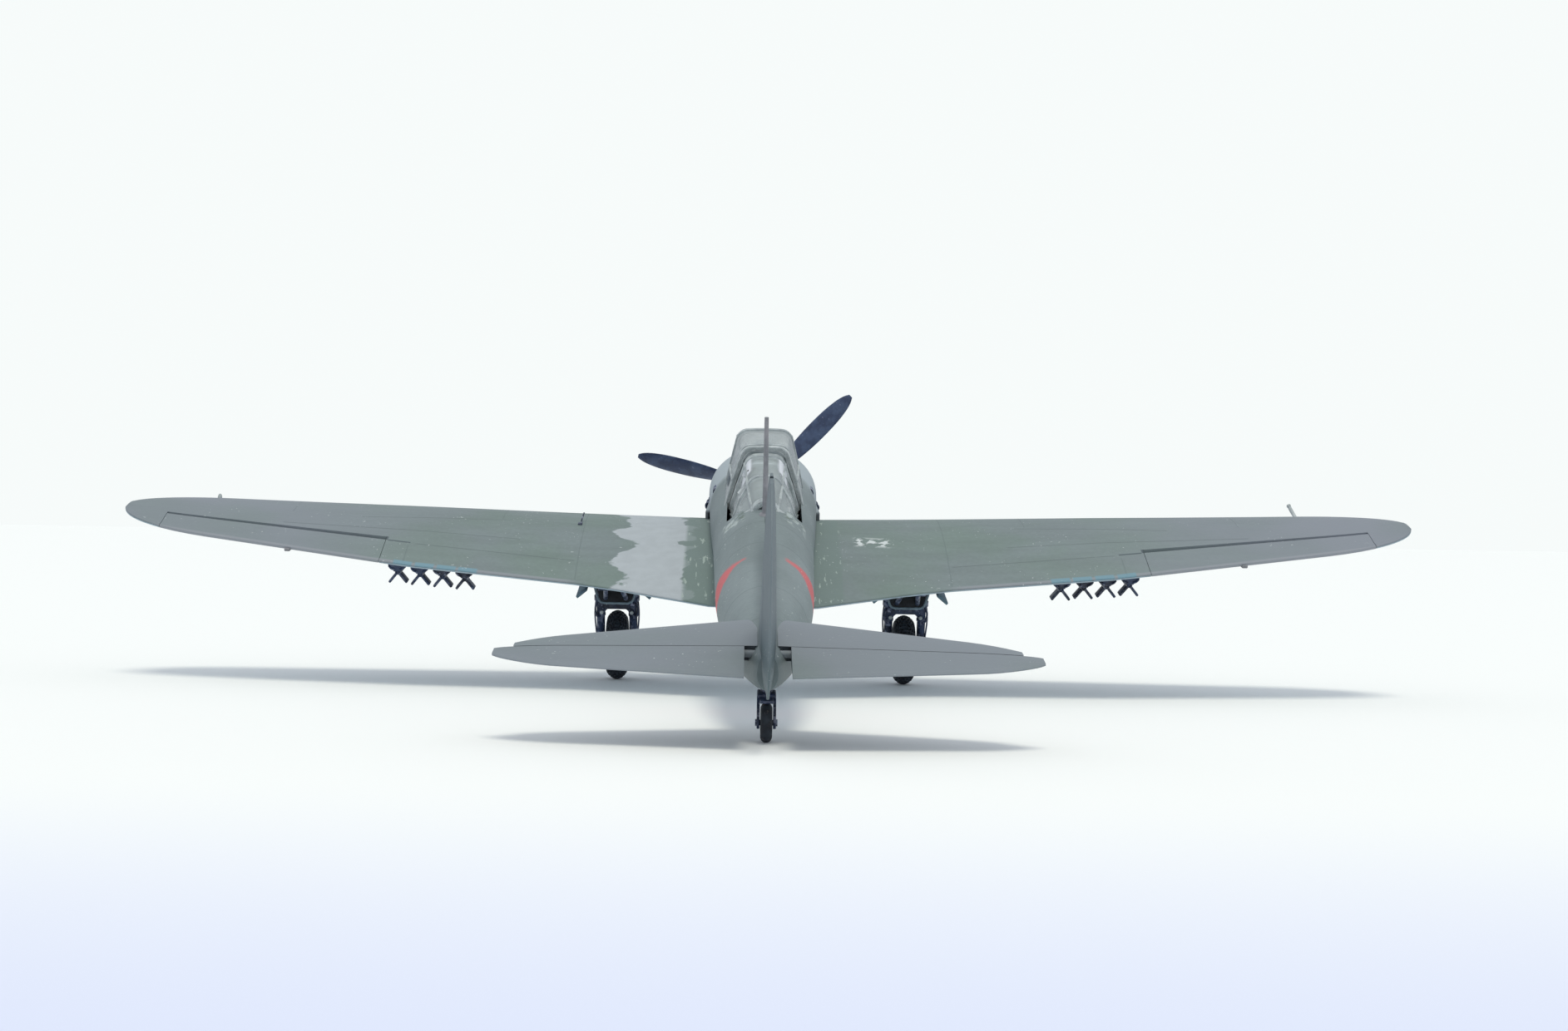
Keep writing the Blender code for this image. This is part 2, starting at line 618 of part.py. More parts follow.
def make_gear_legs(label, side):
    """Two legs, the arched yoke between them, cross tube, braces and the folding strut."""
    name = f"gear_legs_{label}"
    half = LEG_SPACING / 2
    x = side * GEAR_X
    pieces = []
    for i, away in enumerate((-1, 1)):
        at = x + away * half
        low, high = (at, AXLE_AT + 1.4, -12.0), (at, AXLE_AT + 3.0, -5.2)
        pieces.append(rod(f"{name}_oleo_{i}", low, high, 0.9, None))
        pieces.append(box(f"{name}_foot_{i}", (at, AXLE_AT, AXLE_HEIGHT), (1.1, 1.9, 1.9), None))
        pieces.append(rod(f"{name}_brace_{i}", (x + away * 2.5, AXLE_AT + 1.7, -12.3),
                          (x + away * 0.6, AXLE_AT + 2.8, -7.2), 0.3, None, sides=8))
        pieces.append(rod(f"{name}_strut_{i}", (x + away * 1.9, AXLE_AT + 1.5, -12.6),
                          (x + away * 1.2, 54.6, -7.6), 0.38, None, sides=10))
    tube_at = (AXLE_AT + 2.9, -6.4)
    pieces.append(rod(f"{name}_cross", (x - 3.0, *tube_at), (x + 3.0, *tube_at), 0.6, None))
    pieces.append(rod(f"{name}_pivot", (x - 2.4, 54.6, -7.6), (x + 2.4, 54.6, -7.6), 0.5, None, sides=10))
    arch = [(-3.1, -1.1), (-3.1, 0.6), (-2.5, 1.1), (2.5, 1.1), (3.1, 0.6), (3.1, -1.1)]
    arch += [(2.0 * math.cos(math.pi * i / 8), -1.1 + 0.9 * math.sin(math.pi * i / 8)) for i in range(9)]
    yoke_at = (x, AXLE_AT + 1.3, -12.9)
    pieces.append(plate(f"{name}_yoke", arch, 1.3, None, yoke_at, ((1, 0, 0), (0, 0.1, 1))))
    foot, socket = (AXLE_AT, AXLE_HEIGHT), (AXLE_AT + 1.5, -11.6)
    piston = rod(name, (x - half, *foot), (x - half, *socket), LEG_RADIUS, DARK)
    second = rod(f"{name}_piston", (x + half, *foot), (x + half, *socket), LEG_RADIUS, None)
    return join(piston, second, *pieces)


def make_main_wheel(label, side):
    """Tyre, hub and the axle that both turn on; their origins lie on the axle line."""
    centre = (side * GEAR_X, AXLE_AT, AXLE_HEIGHT)
    half = TYRE_WIDTH / 2
    tyre = [(3.35, half * 0.55), (3.9, half * 0.9), (4.7, half), (5.35, half * 0.8)]
    tyre += [(WHEEL_RADIUS, half * 0.42)]
    tyre += [(radius, -along) for radius, along in reversed(tyre)]
    turned(f"tyre_{label}", tyre, centre, (1, 0, 0), BLACK, steps=32, closed=True)
    bore = 0.6
    hub = [(3.25, 0.9), (3.25, -0.9), (2.6, -1.0), (2.3, -0.6), (1.2, -0.6), (1.0, -1.5), (bore, -1.5)]
    hub += [(radius, -along) for radius, along in reversed(hub[2:])]
    turned(f"wheel_hub_{label}", hub, centre, (1, 0, 0), COCKPIT_GREY, steps=24, closed=True)
    reach = LEG_SPACING / 2 - LEG_RADIUS - GAP
    ends = [(centre[0] + away * reach, AXLE_AT, AXLE_HEIGHT) for away in (-1, 1)]
    rod(f"axle_{label}", *ends, 0.5, STEEL, origin=centre)


def make_cannon(label, side):
    """A gun barrel standing out of the leading edge."""
    x = 34.5
    front, _, height = wing_station(x)
    profile = [(0.0, 7.0), (0.38, 7.0), (0.38, 6.2), (0.3, 6.2), (0.3, 2.8), (0.55, 2.4), (0.6, 0.0)]
    profile += [(0.0, 0.0)]
    turned(f"cannon_{label}", profile, (side * x, front - 0.1, height - 1.0), (0, -1, 0), STEEL, steps=12)


def make_pitot():
    """The bent pressure-head tube ahead of the starboard leading edge."""
    x = -87.7
    front, _, height = wing_station(-x)
    points = ((x, front - 0.45, height), (x + 0.1, front - 1.2, height + 0.5),
              (x + 0.4, front - 1.9, height + 1.1), (x + 0.8, front - 2.5, height + 1.9))
    wire("pitot_tube", points, 0.3, STEEL)


def make_rocket_rails(label, side, wing):
    """A shallow pallet under the wing with four launch rails."""
    first, last = ROCKETS_AT[0], ROCKETS_AT[-1]
    middle = (first + last) / 2
    low = wing_point(middle, 0.4, -1)[2]
    dihedral = -side * OUTER_DIHEDRAL
    size = (last - first + 2.6, 7.4, 3.0)
    centre = (side * middle, 47.4, low + 0.9)
    pallet = box(f"rocket_rails_{label}", centre, size, BLUE, tilt=(0, dihedral, 0))
    rails = []
    for i, x in enumerate(ROCKETS_AT):
        top = wing_point(x, 0.4, -1)[2] - 0.15
        reach = ROCKET_DROP - ROCKET_RADIUS - 2.5 * GAP
        centre = (side * x, 47.4, top - reach / 2)
        rails.append(box(f"rail_{label}_{i}", centre, (0.6, 9.4, reach), None))
    return cut(join(pallet, *rails), wing)


def make_rocket(label, side, number):
    """A finned rocket: turned body with four fins set as an X."""
    x = ROCKETS_AT[number - 1]
    height = wing_point(x, 0.4, -1)[2] - ROCKET_DROP
    profile = [(0.0, 8.3), (0.16, 8.1), (0.38, 7.3), (ROCKET_RADIUS, 6.2), (ROCKET_RADIUS, 1.3)]
    profile += [(0.42, 0.0), (0.0, 0.0)]
    tail = (side * x, ROCKET_TAIL, height)
    body = turned(f"rocket_{label}_{number}", profile, tail, (0, -1, 0), DARK, steps=12)
    fins = []
    for i, turn in enumerate((45, 135)):
        fin_name = f"rocket_{label}_{number}_fin_{i}"
        blade = box(fin_name, (0, 0, 0), (ROCKET_FINS, 2.2, 0.22), None, tilt=(0, turn, 0))
        blade.location = Vector((side * x, ROCKET_TAIL - 1.3, height)) * MM
        fins.append(blade)
    return join(body, *fins)


# ---- tail ----
def tailplane_station(x):
    """Leading and trailing edge of the tailplane at a distance from the centreline."""
    share = (x - 4.0) / 24.0
    front, rear = blend(130.4, 139.6, share), blend(154.6, 150.6, share)
    if x > TAIL_TIP_START:
        round_off = math.sqrt(1.0 - ((x - TAIL_TIP_START) / (TAILPLANE_HALF_SPAN - TAIL_TIP_START)) ** 2)
        centre = blend(front, rear, 0.52)
        front, rear = blend(centre, front, round_off), blend(centre, rear, round_off)
    return front, rear


def tail_section(front, rear, start, stop, thickness):
    """Half thicknesses of a symmetrical section between two positions, blunt at the back."""
    chord = rear - front
    points = []
    for i in range(7):
        share = i / 6
        s = blend(start, stop, share ** 1.5 if start == front else share)
        t = (s - front) / chord
        points.append((s, max(half_thickness(min(t, 1.0)) * thickness * chord, 0.14 if t > 0.01 else 0.0)))
    return points


def flat_section(points, place_point, round_nose=False):
    """A closed ring from half thicknesses; the nose is a round edge or a single point."""
    upper = [place_point(s, half) for s, half in reversed(points[1:])]
    lower = [place_point(s, -half) for s, half in points[1:]]
    s, half = points[0]
    if not round_nose:
        return upper + [place_point(s, 0.0)] + lower
    turns = [math.pi * i / 6 for i in range(7)]
    arc = [place_point(s - half * math.sin(turn), half * math.cos(turn)) for turn in turns]
    return upper + arc + lower


TAIL_STATIONS = (1.6, 4, 10, 17, 24, 27, 29, 29.9)
TAIL_NOSE_CLEARANCE = 1.15  # room for the elevators' round nose
TAILPLANE_THICKNESS = 0.09
FIN_THICKNESS = 0.075


def make_stabiliser(label, side):
    """The fixed half of the tailplane, ending ahead of the elevator's nose."""
    rings = []
    for x in TAIL_STATIONS:
        front, rear = tailplane_station(x)
        points = tail_section(front, rear, front, ELEVATOR_HINGE - TAIL_NOSE_CLEARANCE, TAILPLANE_THICKNESS)
        rings.append(flat_section(points, lambda s, half, x=x: (side * x, s, TAILPLANE_HEIGHT + half)))
    return cut(loft(f"stabiliser_{label}", rings, GREEN), HULL_GROWN)


def make_elevator():
    """Both elevators and the torque tube that joins them through the tail."""
    halves = []
    for label, side in SIDES:
        rings = []
        for x in (3.6, 6, 10, 17, 24, 27.5, 29.8, 31.2, 32.1):
            front, rear = tailplane_station(x)
            start = max(ELEVATOR_HINGE, front + 0.25)
            points = tail_section(front, rear, start, rear, TAILPLANE_THICKNESS)
            upright = lambda s, half, x=x: (side * x, s, TAILPLANE_HEIGHT + half)
            rings.append(flat_section(points, upright, True))
        look = GREEN if side > 0 else None
        name = "elevator" if side > 0 else "elevator_half"
        halves.append(loft(name, rings, look, (0, ELEVATOR_HINGE, TAILPLANE_HEIGHT)))
    hinge = (0, ELEVATOR_HINGE, TAILPLANE_HEIGHT)
    tube = rod("elevator_tube", (-4.2, *hinge[1:]), (4.2, *hinge[1:]), 0.45, None, origin=hinge)
    return join(halves[0], halves[1], tube)


# fin and rudder: height, leading edge, trailing edge
FIN_PLAN = ((3.6, 131.0, 153.5), (5.0, 131.0, 157.4), (7.0, 131.0, 159.6), (10.0, 134.5, 160.8),
            (14.0, 138.2, 161.0), (19.0, 140.9, 160.3), (24.0, 143.2, 158.2), (27.0, 145.0, 155.4),
            (28.6, 147.2, 152.4))


def make_fin():
    """The fixed fin on the spine; its rear edge stands clear of the rudder's nose."""
    rings = []
    for height, front, rear in FIN_PLAN[2:]:
        points = tail_section(front, rear, front, RUDDER_HINGE - 1.0, FIN_THICKNESS)
        rings.append(flat_section(points, lambda s, half, height=height: (half, s, height)))
    return cut(loft("fin", rings, GREEN), HULL_GROWN, TORQUE_SLOT)


def make_rudder():
    rings = []
    for height, front, rear in FIN_PLAN[:-1] + ((28.4, 146.8, 153.0),):
        points = tail_section(front, rear, RUDDER_HINGE, rear, FIN_THICKNESS)
        rings.append(flat_section(points, lambda s, half, height=height: (half, s, height), True))
    return loft("rudder", rings, GREEN, (0, RUDDER_HINGE, TAILPLANE_HEIGHT))


def make_tail_wheel():
    """A fork that swivels on its stem, and the wheel in it."""
    pivot = (0, TAIL_SWIVEL_AT, 0)
    axle = (0, TAIL_WHEEL_AT, TAIL_AXLE_HEIGHT)
    arms = []
    inner = TAIL_WHEEL_WIDTH / 2 + 0.12
    crown = TAIL_AXLE_HEIGHT + TAIL_WHEEL_RADIUS + 0.35
    for i, away in enumerate((-1, 1)):
        reach = TAIL_WHEEL_AT - TAIL_SWIVEL_AT
        arm = [(-0.75, crown + 0.2), (1.3, crown + 0.2), (reach + 0.7, TAIL_AXLE_HEIGHT + 0.5),
               (reach + 0.7, TAIL_AXLE_HEIGHT - 0.6), (reach - 0.7, TAIL_AXLE_HEIGHT - 0.6)]
        arms.append(plate(f"fork_arm_{i}", arm, 0.3, None, (away * (inner + 0.15), TAIL_SWIVEL_AT, 0),
                          ((0, 1, 0), (0, 0, 1)), pivot))
    bridge_at = (0, TAIL_SWIVEL_AT + 0.3, crown)
    bridge = box("fork_bridge", bridge_at, (2 * inner + 0.5, 2.2, 0.6), None, origin=pivot)
    spindle = rod("fork_spindle", (-inner - 0.2, TAIL_WHEEL_AT, TAIL_AXLE_HEIGHT),
                  (inner + 0.2, TAIL_WHEEL_AT, TAIL_AXLE_HEIGHT), 0.35, None, sides=12, origin=pivot)
    foot, head = (0, TAIL_SWIVEL_AT, crown - 0.2), (0, TAIL_SWIVEL_AT, 2.6)
    stem = rod("tail_wheel_fork", foot, head, 0.75, DARK, origin=pivot)
    join(stem, bridge, *arms, spindle)
    half = TAIL_WHEEL_WIDTH / 2
    wheel = [(0.47, half), (1.2, half * 0.75), (1.6, half), (2.1, half * 0.8)]
    wheel += [(TAIL_WHEEL_RADIUS, half * 0.35)]
    wheel += [(radius, -along) for radius, along in reversed(wheel)]
    turned("tail_wheel", wheel, axle, (1, 0, 0), BLACK, steps=24, closed=True)


# ---- propeller ----
HUB = (0, PROP_PLANE, 0)


def blade_direction(number):
    turn = math.radians(FIRST_BLADE + 120.0 * number)
    return Vector((-math.cos(turn), 0.0, math.sin(turn)))


def make_spinner():
    """The pointed nose cap, with three sockets for the blades and a bore for the shaft."""
    shares = [i / 8 for i in range(8, -1, -1)]
    profile = [(SPINNER_RADIUS * (1 - share**2) ** 0.55, SPINNER_LENGTH * share) for share in shares]
    profile += [(0.0, 0.0)]
    spinner = turned("spinner", profile, (0, SPINNER_LENGTH, 0), (0, -1, 0), DARK, steps=32)
    sockets = []
    for i in range(3):
        outward = blade_direction(i)
        ends = (Vector(HUB) + outward * 2.0, Vector(HUB) + outward * 7.0)
        sockets.append(rod(f"socket_{i}", *ends, 0.95, None))
    bore = rod("shaft_bore", (0, 5.0, 0), (0, 9.5, 0), SHAFT_RADIUS + 0.05, None)
    return cut(spinner, *sockets, bore)


def make_shaft():
    """The propeller shaft, with the collar that holds it behind the nose plate."""
    profile = [(0.0, 3.9), (SHAFT_RADIUS, 3.9), (SHAFT_RADIUS, -2.2), (1.9, -2.2), (1.9, -3.0)]
    profile += [(SHAFT_RADIUS, -3.0), (SHAFT_RADIUS, -5.0), (0.0, -5.0)]
    turned("prop_shaft", profile, (0, 9.0, 0), (0, -1, 0), STEEL, steps=20)


# blade: radius, chord, thickness, pitch angle from the propeller's plane
BLADE = ((2.3, 1.6, 1.6, 50.0), (4.4, 1.6, 1.6, 48.0), (6.4, 2.4, 1.1, 44.0), (9.0, 3.2, 0.8, 38.0),
         (12.0, 3.6, 0.65, 33.0), (15.0, 3.6, 0.55, 29.0), (18.0, 3.3, 0.45, 26.0), (20.5, 2.6, 0.36, 24.0),
         (22.0, 1.7, 0.28, 23.0), (22.8, 0.75, 0.22, 22.5))


def make_blade(number):
    """One twisted blade with a round root."""
    outward = blade_direction(number)
    forward = Vector((0, -1, 0))
    travel = outward.cross(forward)
    rings = []
    for radius, chord, thickness, pitch in BLADE:
        turn = math.radians(pitch)
        along = travel * math.cos(turn) + forward * math.sin(turn)
        normal = travel * -math.sin(turn) + forward * math.cos(turn)
        centre = Vector(HUB) + outward * radius
        angles = [2 * math.pi * i / 12 for i in range(12)]
        across, through = along * chord / 2, normal * thickness / 2
        rings.append([centre + across * math.cos(angle) + through * math.sin(angle) for angle in angles])
    return loft(f"propeller_blade_{number + 1}", rings, DARK, HUB)


# ---- assembly ----
HULL_GROWN = hull_cutter("hull_grown", 1.5 * GAP)
COCKPIT_CUTTER = make_cockpit_cutter()
SWIVEL_CUTTER = make_swivel_cutter()
TORQUE_SLOT = box("torque_tube_slot", (0, ELEVATOR_HINGE + 1.0, TAILPLANE_HEIGHT), (8.0, 4.2, 1.5), None)

for side_name, side_sign in SIDES:
    half_fuselage = make_fuselage_half(f"fuselage_{side_name}", side_sign)
    cut(half_fuselage, TORQUE_SLOT)
    make_exhausts(f"exhausts_{side_name}", side_sign)
make_nose_plate()
make_air_scoop()
make_oil_cooler()
make_canopy()
make_cockpit()
make_mast()

for side_name, side_sign in SIDES:
    bay_cutter = make_aileron_bay(f"aileron_bay_{side_name}", side_sign)
    make_wing_skin(f"wing_upper_{side_name}", side_sign, 1, GREEN, [bay_cutter])
    make_wing_skin(f"wing_lower_{side_name}", side_sign, -1, BLUE, [bay_cutter])
    make_aileron(f"aileron_{side_name}", side_sign)
    wing_grown = wing_block(f"wing_grown_{side_name}", side_sign, GAP)
    make_gear_pod(f"gear_pod_{side_name}", side_sign, wing_grown)
    make_gear_doors(side_name, side_sign)
    make_gear_legs(side_name, side_sign)
    make_main_wheel(side_name, side_sign)
    make_cannon(side_name, side_sign)
    make_rocket_rails(side_name, side_sign, wing_grown)
    for rocket_number in range(1, len(ROCKETS_AT) + 1):
        make_rocket(side_name, side_sign, rocket_number)
    make_stabiliser(side_name, side_sign)
make_pitot()

make_elevator()
make_fin()
make_rudder()
make_tail_wheel()
make_spinner()
make_shaft()
for blade_number in range(3):
    make_blade(blade_number)
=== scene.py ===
"""Looks of the propeller plane model: fine skins, glazing, gear, stores and every material.

Pieces are drawn in the airframe's own axes, in millimetres: x to port, s aft from the spinner's
tip along the propeller shaft, and h above the shaft.  AIRFRAME puts them in the model's frame;
it comes from the propeller's joint, so the looks follow the CAD model.
"""
import json
import math

import bmesh
import bpy
from mathutils import Matrix, Vector


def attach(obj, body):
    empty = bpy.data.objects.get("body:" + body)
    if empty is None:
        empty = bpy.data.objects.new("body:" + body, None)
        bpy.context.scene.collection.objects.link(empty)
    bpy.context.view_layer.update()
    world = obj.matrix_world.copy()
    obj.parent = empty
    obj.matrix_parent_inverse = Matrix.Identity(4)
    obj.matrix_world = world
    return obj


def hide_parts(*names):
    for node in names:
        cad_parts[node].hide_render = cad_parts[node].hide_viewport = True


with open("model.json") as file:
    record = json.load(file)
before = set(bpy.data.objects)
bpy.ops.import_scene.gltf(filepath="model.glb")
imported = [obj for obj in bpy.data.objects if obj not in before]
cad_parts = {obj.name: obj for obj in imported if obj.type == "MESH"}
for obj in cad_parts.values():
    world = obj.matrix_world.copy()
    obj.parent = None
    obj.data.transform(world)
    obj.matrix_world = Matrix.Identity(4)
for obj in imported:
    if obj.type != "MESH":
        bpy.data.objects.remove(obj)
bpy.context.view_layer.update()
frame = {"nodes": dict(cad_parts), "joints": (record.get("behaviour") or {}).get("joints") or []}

MM = 0.001
SIDES = (("left", 1), ("right", -1))
SCENE = bpy.context.scene

# ---- the airframe's axes ----
PROP_PLANE = 6.5           # s of the propeller's plane
SPIN = next(joint for joint in frame["joints"] if joint["name"] == "propeller_spin")
FORWARD = Vector(SPIN["axis"])
AFT = -FORWARD
PORT = Vector((1.0, 0.0, 0.0))
UP = PORT.cross(AFT)
NOSE = Vector(SPIN["pos_m"]) + FORWARD * PROP_PLANE * MM
AIRFRAME = Matrix.Translation(NOSE) @ Matrix((PORT, AFT, UP)).transposed().to_4x4() @ Matrix.Scale(MM, 4)

# ---- driving dimensions, as in the CAD model ----
HALF_SPAN = 102.1
WING_PLAN = ((3.5, 33.0, 80.5), (8.0, 33.0, 80.0), (14.0, 33.0, 77.4), (21.0, 33.0, 74.4),
             (28.5, 33.0, 71.9), (54.0, 35.3, 69.4), (HALF_SPAN, 39.7, 57.4))
WING_HEIGHT = -2.7
WING_INCIDENCE = math.radians(1.5)
WING_PANEL_JOINT = 28.5
WING_TIP_START = 86.0
TIP_ROUNDNESS = 2.5
TIP_CENTRE = 0.66
TIP_LIFT = 0.075
INNER_DIHEDRAL = math.radians(2.2)
OUTER_DIHEDRAL = math.radians(3.6)
WING_THICKNESS = (0.15, 0.11)
WING_CAMBER = 0.03
WING_SEAM = 0.05
EDGE_HALF = 0.2            # half the thickness left at trailing edges

AILERON = (58.8, 95.0)     # inner and outer end
HINGE_AT = (61.1, 53.7)    # s of the hinge axis at those ends
HINGE_GAP = 0.15
AILERON_END_GAP = 0.08     # between an aileron's end and its bay

HULL = ((8.9, 4.7, 4.7, -4.7, 0.0), (13.0, 5.9, 6.8, -5.8, 0.5), (19.0, 7.1, 8.9, -6.6, 2.1),
        (26.0, 8.3, 10.4, -7.1, 3.8), (35.0, 8.8, 11.3, -7.3, 4.5), (46.0, 8.6, 11.5, -7.3, 4.1),
        (58.0, 8.2, 11.6, -7.2, 3.3), (70.0, 7.6, 11.3, -6.8, 2.6), (80.0, 7.3, 10.5, -6.2, 2.2),
        (92.0, 7.0, 9.8, -5.1, 2.0), (104.0, 6.6, 9.2, -3.9, 2.0), (116.0, 5.8, 8.7, -2.5, 2.3),
        (128.0, 4.6, 8.2, -0.8, 2.8), (138.0, 3.4, 7.9, 0.9, 3.6), (146.0, 2.0, 7.7, 2.5, 4.6),
        (148.6, 1.2, 7.6, 3.3, 5.2))
HULL_WALL = 1.1
COCKPIT = (48.5, 77.0)
SILL_HALF_WIDTH = 5.6
HOOD = (54.1, 66.0)
GLAZING = 0.45             # thickness of the clear parts

GEAR_X = 23.6
AXLE_AT = 43.3
WHEEL_RADIUS = 5.7
TYRE_HALF = 1.75
LEG_HALF = 2.675
LEG_RADIUS = 0.68
TAIL_WHEEL_AT = 144.0
TAIL_WHEEL_RADIUS = 2.35
TAIL_WHEEL_HALF = 0.7
TAIL_SWIVEL_AT = 141.4

TAILPLANE_HALF_SPAN = 32.45
TAILPLANE_HEIGHT = 6.5
TAIL_TIP_START = 24.0
ELEVATOR_HINGE = 144.4
ELEVATOR_HOLE = 0.55       # radius of the hole that the elevators' bar passes through
RUDDER_HINGE = 149.6
FIN_PLAN = ((3.6, 131.0, 153.5), (5.0, 131.0, 157.4), (7.0, 131.0, 159.6), (10.0, 134.5, 160.8),
            (14.0, 138.2, 161.0), (19.0, 140.9, 160.3), (24.0, 143.2, 158.2), (27.0, 145.0, 155.4),
            (28.6, 147.2, 152.4))

ROCKETS_AT = (47.7, 51.3, 54.9, 58.5)
ROCKET_DROP = 4.8
ROCKET_RADIUS = 0.57
ROCKET_FINS = 4.2
ROCKET_TAIL = 52.0

SPINNER_LENGTH = 8.6
SPINNER_RADIUS = 4.6
FIRST_BLADE = 46.8


def axle_height(s, radius):
    """Height above the shaft of an axle at s whose wheel stands on the ground."""
    return (radius * MM - NOSE.z - s * MM * AFT.z) / UP.z / MM


AXLE_HEIGHT = axle_height(AXLE_AT, WHEEL_RADIUS)
TAIL_AXLE_HEIGHT = axle_height(TAIL_WHEEL_AT, TAIL_WHEEL_RADIUS)


# ---- shape helpers: each returns a bmesh in airframe millimetres ----
def blend(low, high, share):
    return low + (high - low) * share


def steps(start, stop, count):
    return [blend(start, stop, i / count) for i in range(count + 1)]


def read_table(table, at):
    """Smooth (Catmull-Rom) reading of a table whose first column is the position."""
    at = min(max(at, table[0][0]), table[-1][0])
    last = len(table) - 2
    i = next(k for k in range(last + 1) if at <= table[k + 1][0] or k == last)
    before, start, end, after = table[max(i - 1, 0)], table[i], table[i + 1], table[min(i + 2, last + 1)]
    step = end[0] - start[0]
    u = (at - start[0]) / step
    values = []
    for column in range(1, len(start)):
        slope_in = (end[column] - before[column]) / (end[0] - before[0]) * step
        slope_out = (after[column] - start[column]) / (after[0] - start[0]) * step
        values.append((2 * u**3 - 3 * u**2 + 1) * start[column] + (u**3 - 2 * u**2 + u) * slope_in
                      + (3 * u**2 - 2 * u**3) * end[column] + (u**3 - u**2) * slope_out)
    return values


def loft(rings, looped=False):
    """A closed skin through matching rings; looped joins the last ring to the first."""
    bm = bmesh.new()
    rows = [[bm.verts.new(point) for point in ring] for ring in rings]
    count = len(rows[0])
    pairs = list(zip(rows, rows[1:])) + ([(rows[-1], rows[0])] if looped else [])
    for near, far in pairs:
        for i in range(count):
            j = (i + 1) % count
            bm.faces.new((near[i], near[j], far[j], far[i]))
    if not looped:
        bm.faces.new(rows[0])
        bm.faces.new(rows[-1])
    return bm


def block(centre, size, tilt=(0.0, 0.0, 0.0), bevel=0.0):
    """A block with softened edges; tilt is in degrees about its own centre."""
    turn = Matrix.Rotation(math.radians(tilt[2]), 4, "Z")
    turn = turn @ Matrix.Rotation(math.radians(tilt[1]), 4, "Y")
    turn = turn @ Matrix.Rotation(math.radians(tilt[0]), 4, "X")
    bm = bmesh.new()
    bmesh.ops.create_cube(bm, size=1.0)
    bmesh.ops.scale(bm, verts=bm.verts, vec=size)
    if bevel:
        bmesh.ops.bevel(bm, geom=bm.edges[:], offset=bevel, segments=3, profile=0.5, affect="EDGES")
    bmesh.ops.transform(bm, verts=bm.verts, matrix=Matrix.Translation(centre) @ turn)
    return bm


def lathe(profile, centre, axis, count=48, shape=None):
    """A turned shape from (radius, distance along the axis); shape may move each point."""
    turn = Vector(axis).to_track_quat("Z", "Y").to_matrix()
    rings = []
    for i in range(count):
        angle = 2 * math.pi * i / count
        ring = []
        for row, (radius, along) in enumerate(profile):
            if shape:
                radius = shape(i, row, radius)
            local = Vector((radius * math.cos(angle), radius * math.sin(angle), along))
            ring.append(Vector(centre) + turn @ local)
        rings.append(ring)
    bm = loft(rings, looped=True)
    bmesh.ops.remove_doubles(bm, verts=bm.verts, dist=0.0005)
    return bm


def rod(start, end, radius, end_radius=None, sides=24, chamfer=0.0):
    """A round bar or cone between two points, with chamfered ends."""
    start, end = Vector(start), Vector(end)
    length = (end - start).length
    last = radius if end_radius is None else end_radius
    profile = [(0.0, 0.0), (radius - chamfer, 0.0), (radius, chamfer), (last, length - chamfer)]
    profile += [(last - chamfer, length), (0.0, length)]
    if not chamfer:
        profile = [(0.0, 0.0), (radius, 0.0), (last, length), (0.0, length)]
    return lathe(profile, start, end - start, sides)


def tube(points, radius, sides=12):
    """A round wire through points, smoothed between them."""
    points = [Vector(point) for point in points]
    smooth = []
    for i in range(len(points) - 1):
        before, after = points[max(i - 1, 0)], points[min(i + 2, len(points) - 1)]
        for u in (0.0, 0.25, 0.5, 0.75):
            smooth.append(0.5 * (2 * points[i] + (points[i + 1] - before) * u
                                 + (2 * before - 5 * points[i] + 4 * points[i + 1] - after) * u**2
                                 + (3 * points[i] - before - 3 * points[i + 1] + after) * u**3))
    smooth.append(points[-1])
    rings = []
    side = Vector((0.3, 0.2, 1.0))
    for i, point in enumerate(smooth):
        along = (smooth[min(i + 1, len(smooth) - 1)] - smooth[max(i - 1, 0)]).normalized()
        side = (side - along * side.dot(along)).normalized()
        other = along.cross(side)
        turns = [2 * math.pi * k / sides for k in range(sides)]
        rings.append([point + (side * math.cos(turn) + other * math.sin(turn)) * radius for turn in turns])
    return loft(rings)


def slab(outline, thickness, centre, across, along, bevel=0.0):
    """A flat outline given thickness; across and along are the outline's own directions."""
    across, along = Vector(across).normalized(), Vector(along).normalized()
    normal = across.cross(along)
    low, high = [], []
    for u, v in outline:
        middle = Vector(centre) + across * u + along * v
        low.append(middle - normal * thickness / 2)
        high.append(middle + normal * thickness / 2)
    bm = loft([low, high])
    if bevel:
        rim = [edge for edge in bm.edges if any(len(face.verts) > 4 for face in edge.link_faces)]
        bmesh.ops.bevel(bm, geom=rim, offset=bevel, segments=2, profile=0.5, affect="EDGES")
    return bm


def group(*shapes):
    """Several bmeshes as one; the given ones are used up."""
    whole = bmesh.new()
    for shape in shapes:
        mesh = bpy.data.meshes.new("part")
        shape.to_mesh(mesh)
        shape.free()
        whole.from_mesh(mesh)
        bpy.data.meshes.remove(mesh)
    return whole


def mirrored(bm, side):
    """The same shape on the other side of the airframe where side is -1."""
    if side < 0:
        bmesh.ops.scale(bm, verts=bm.verts, vec=(-1.0, 1.0, 1.0))
    return bm


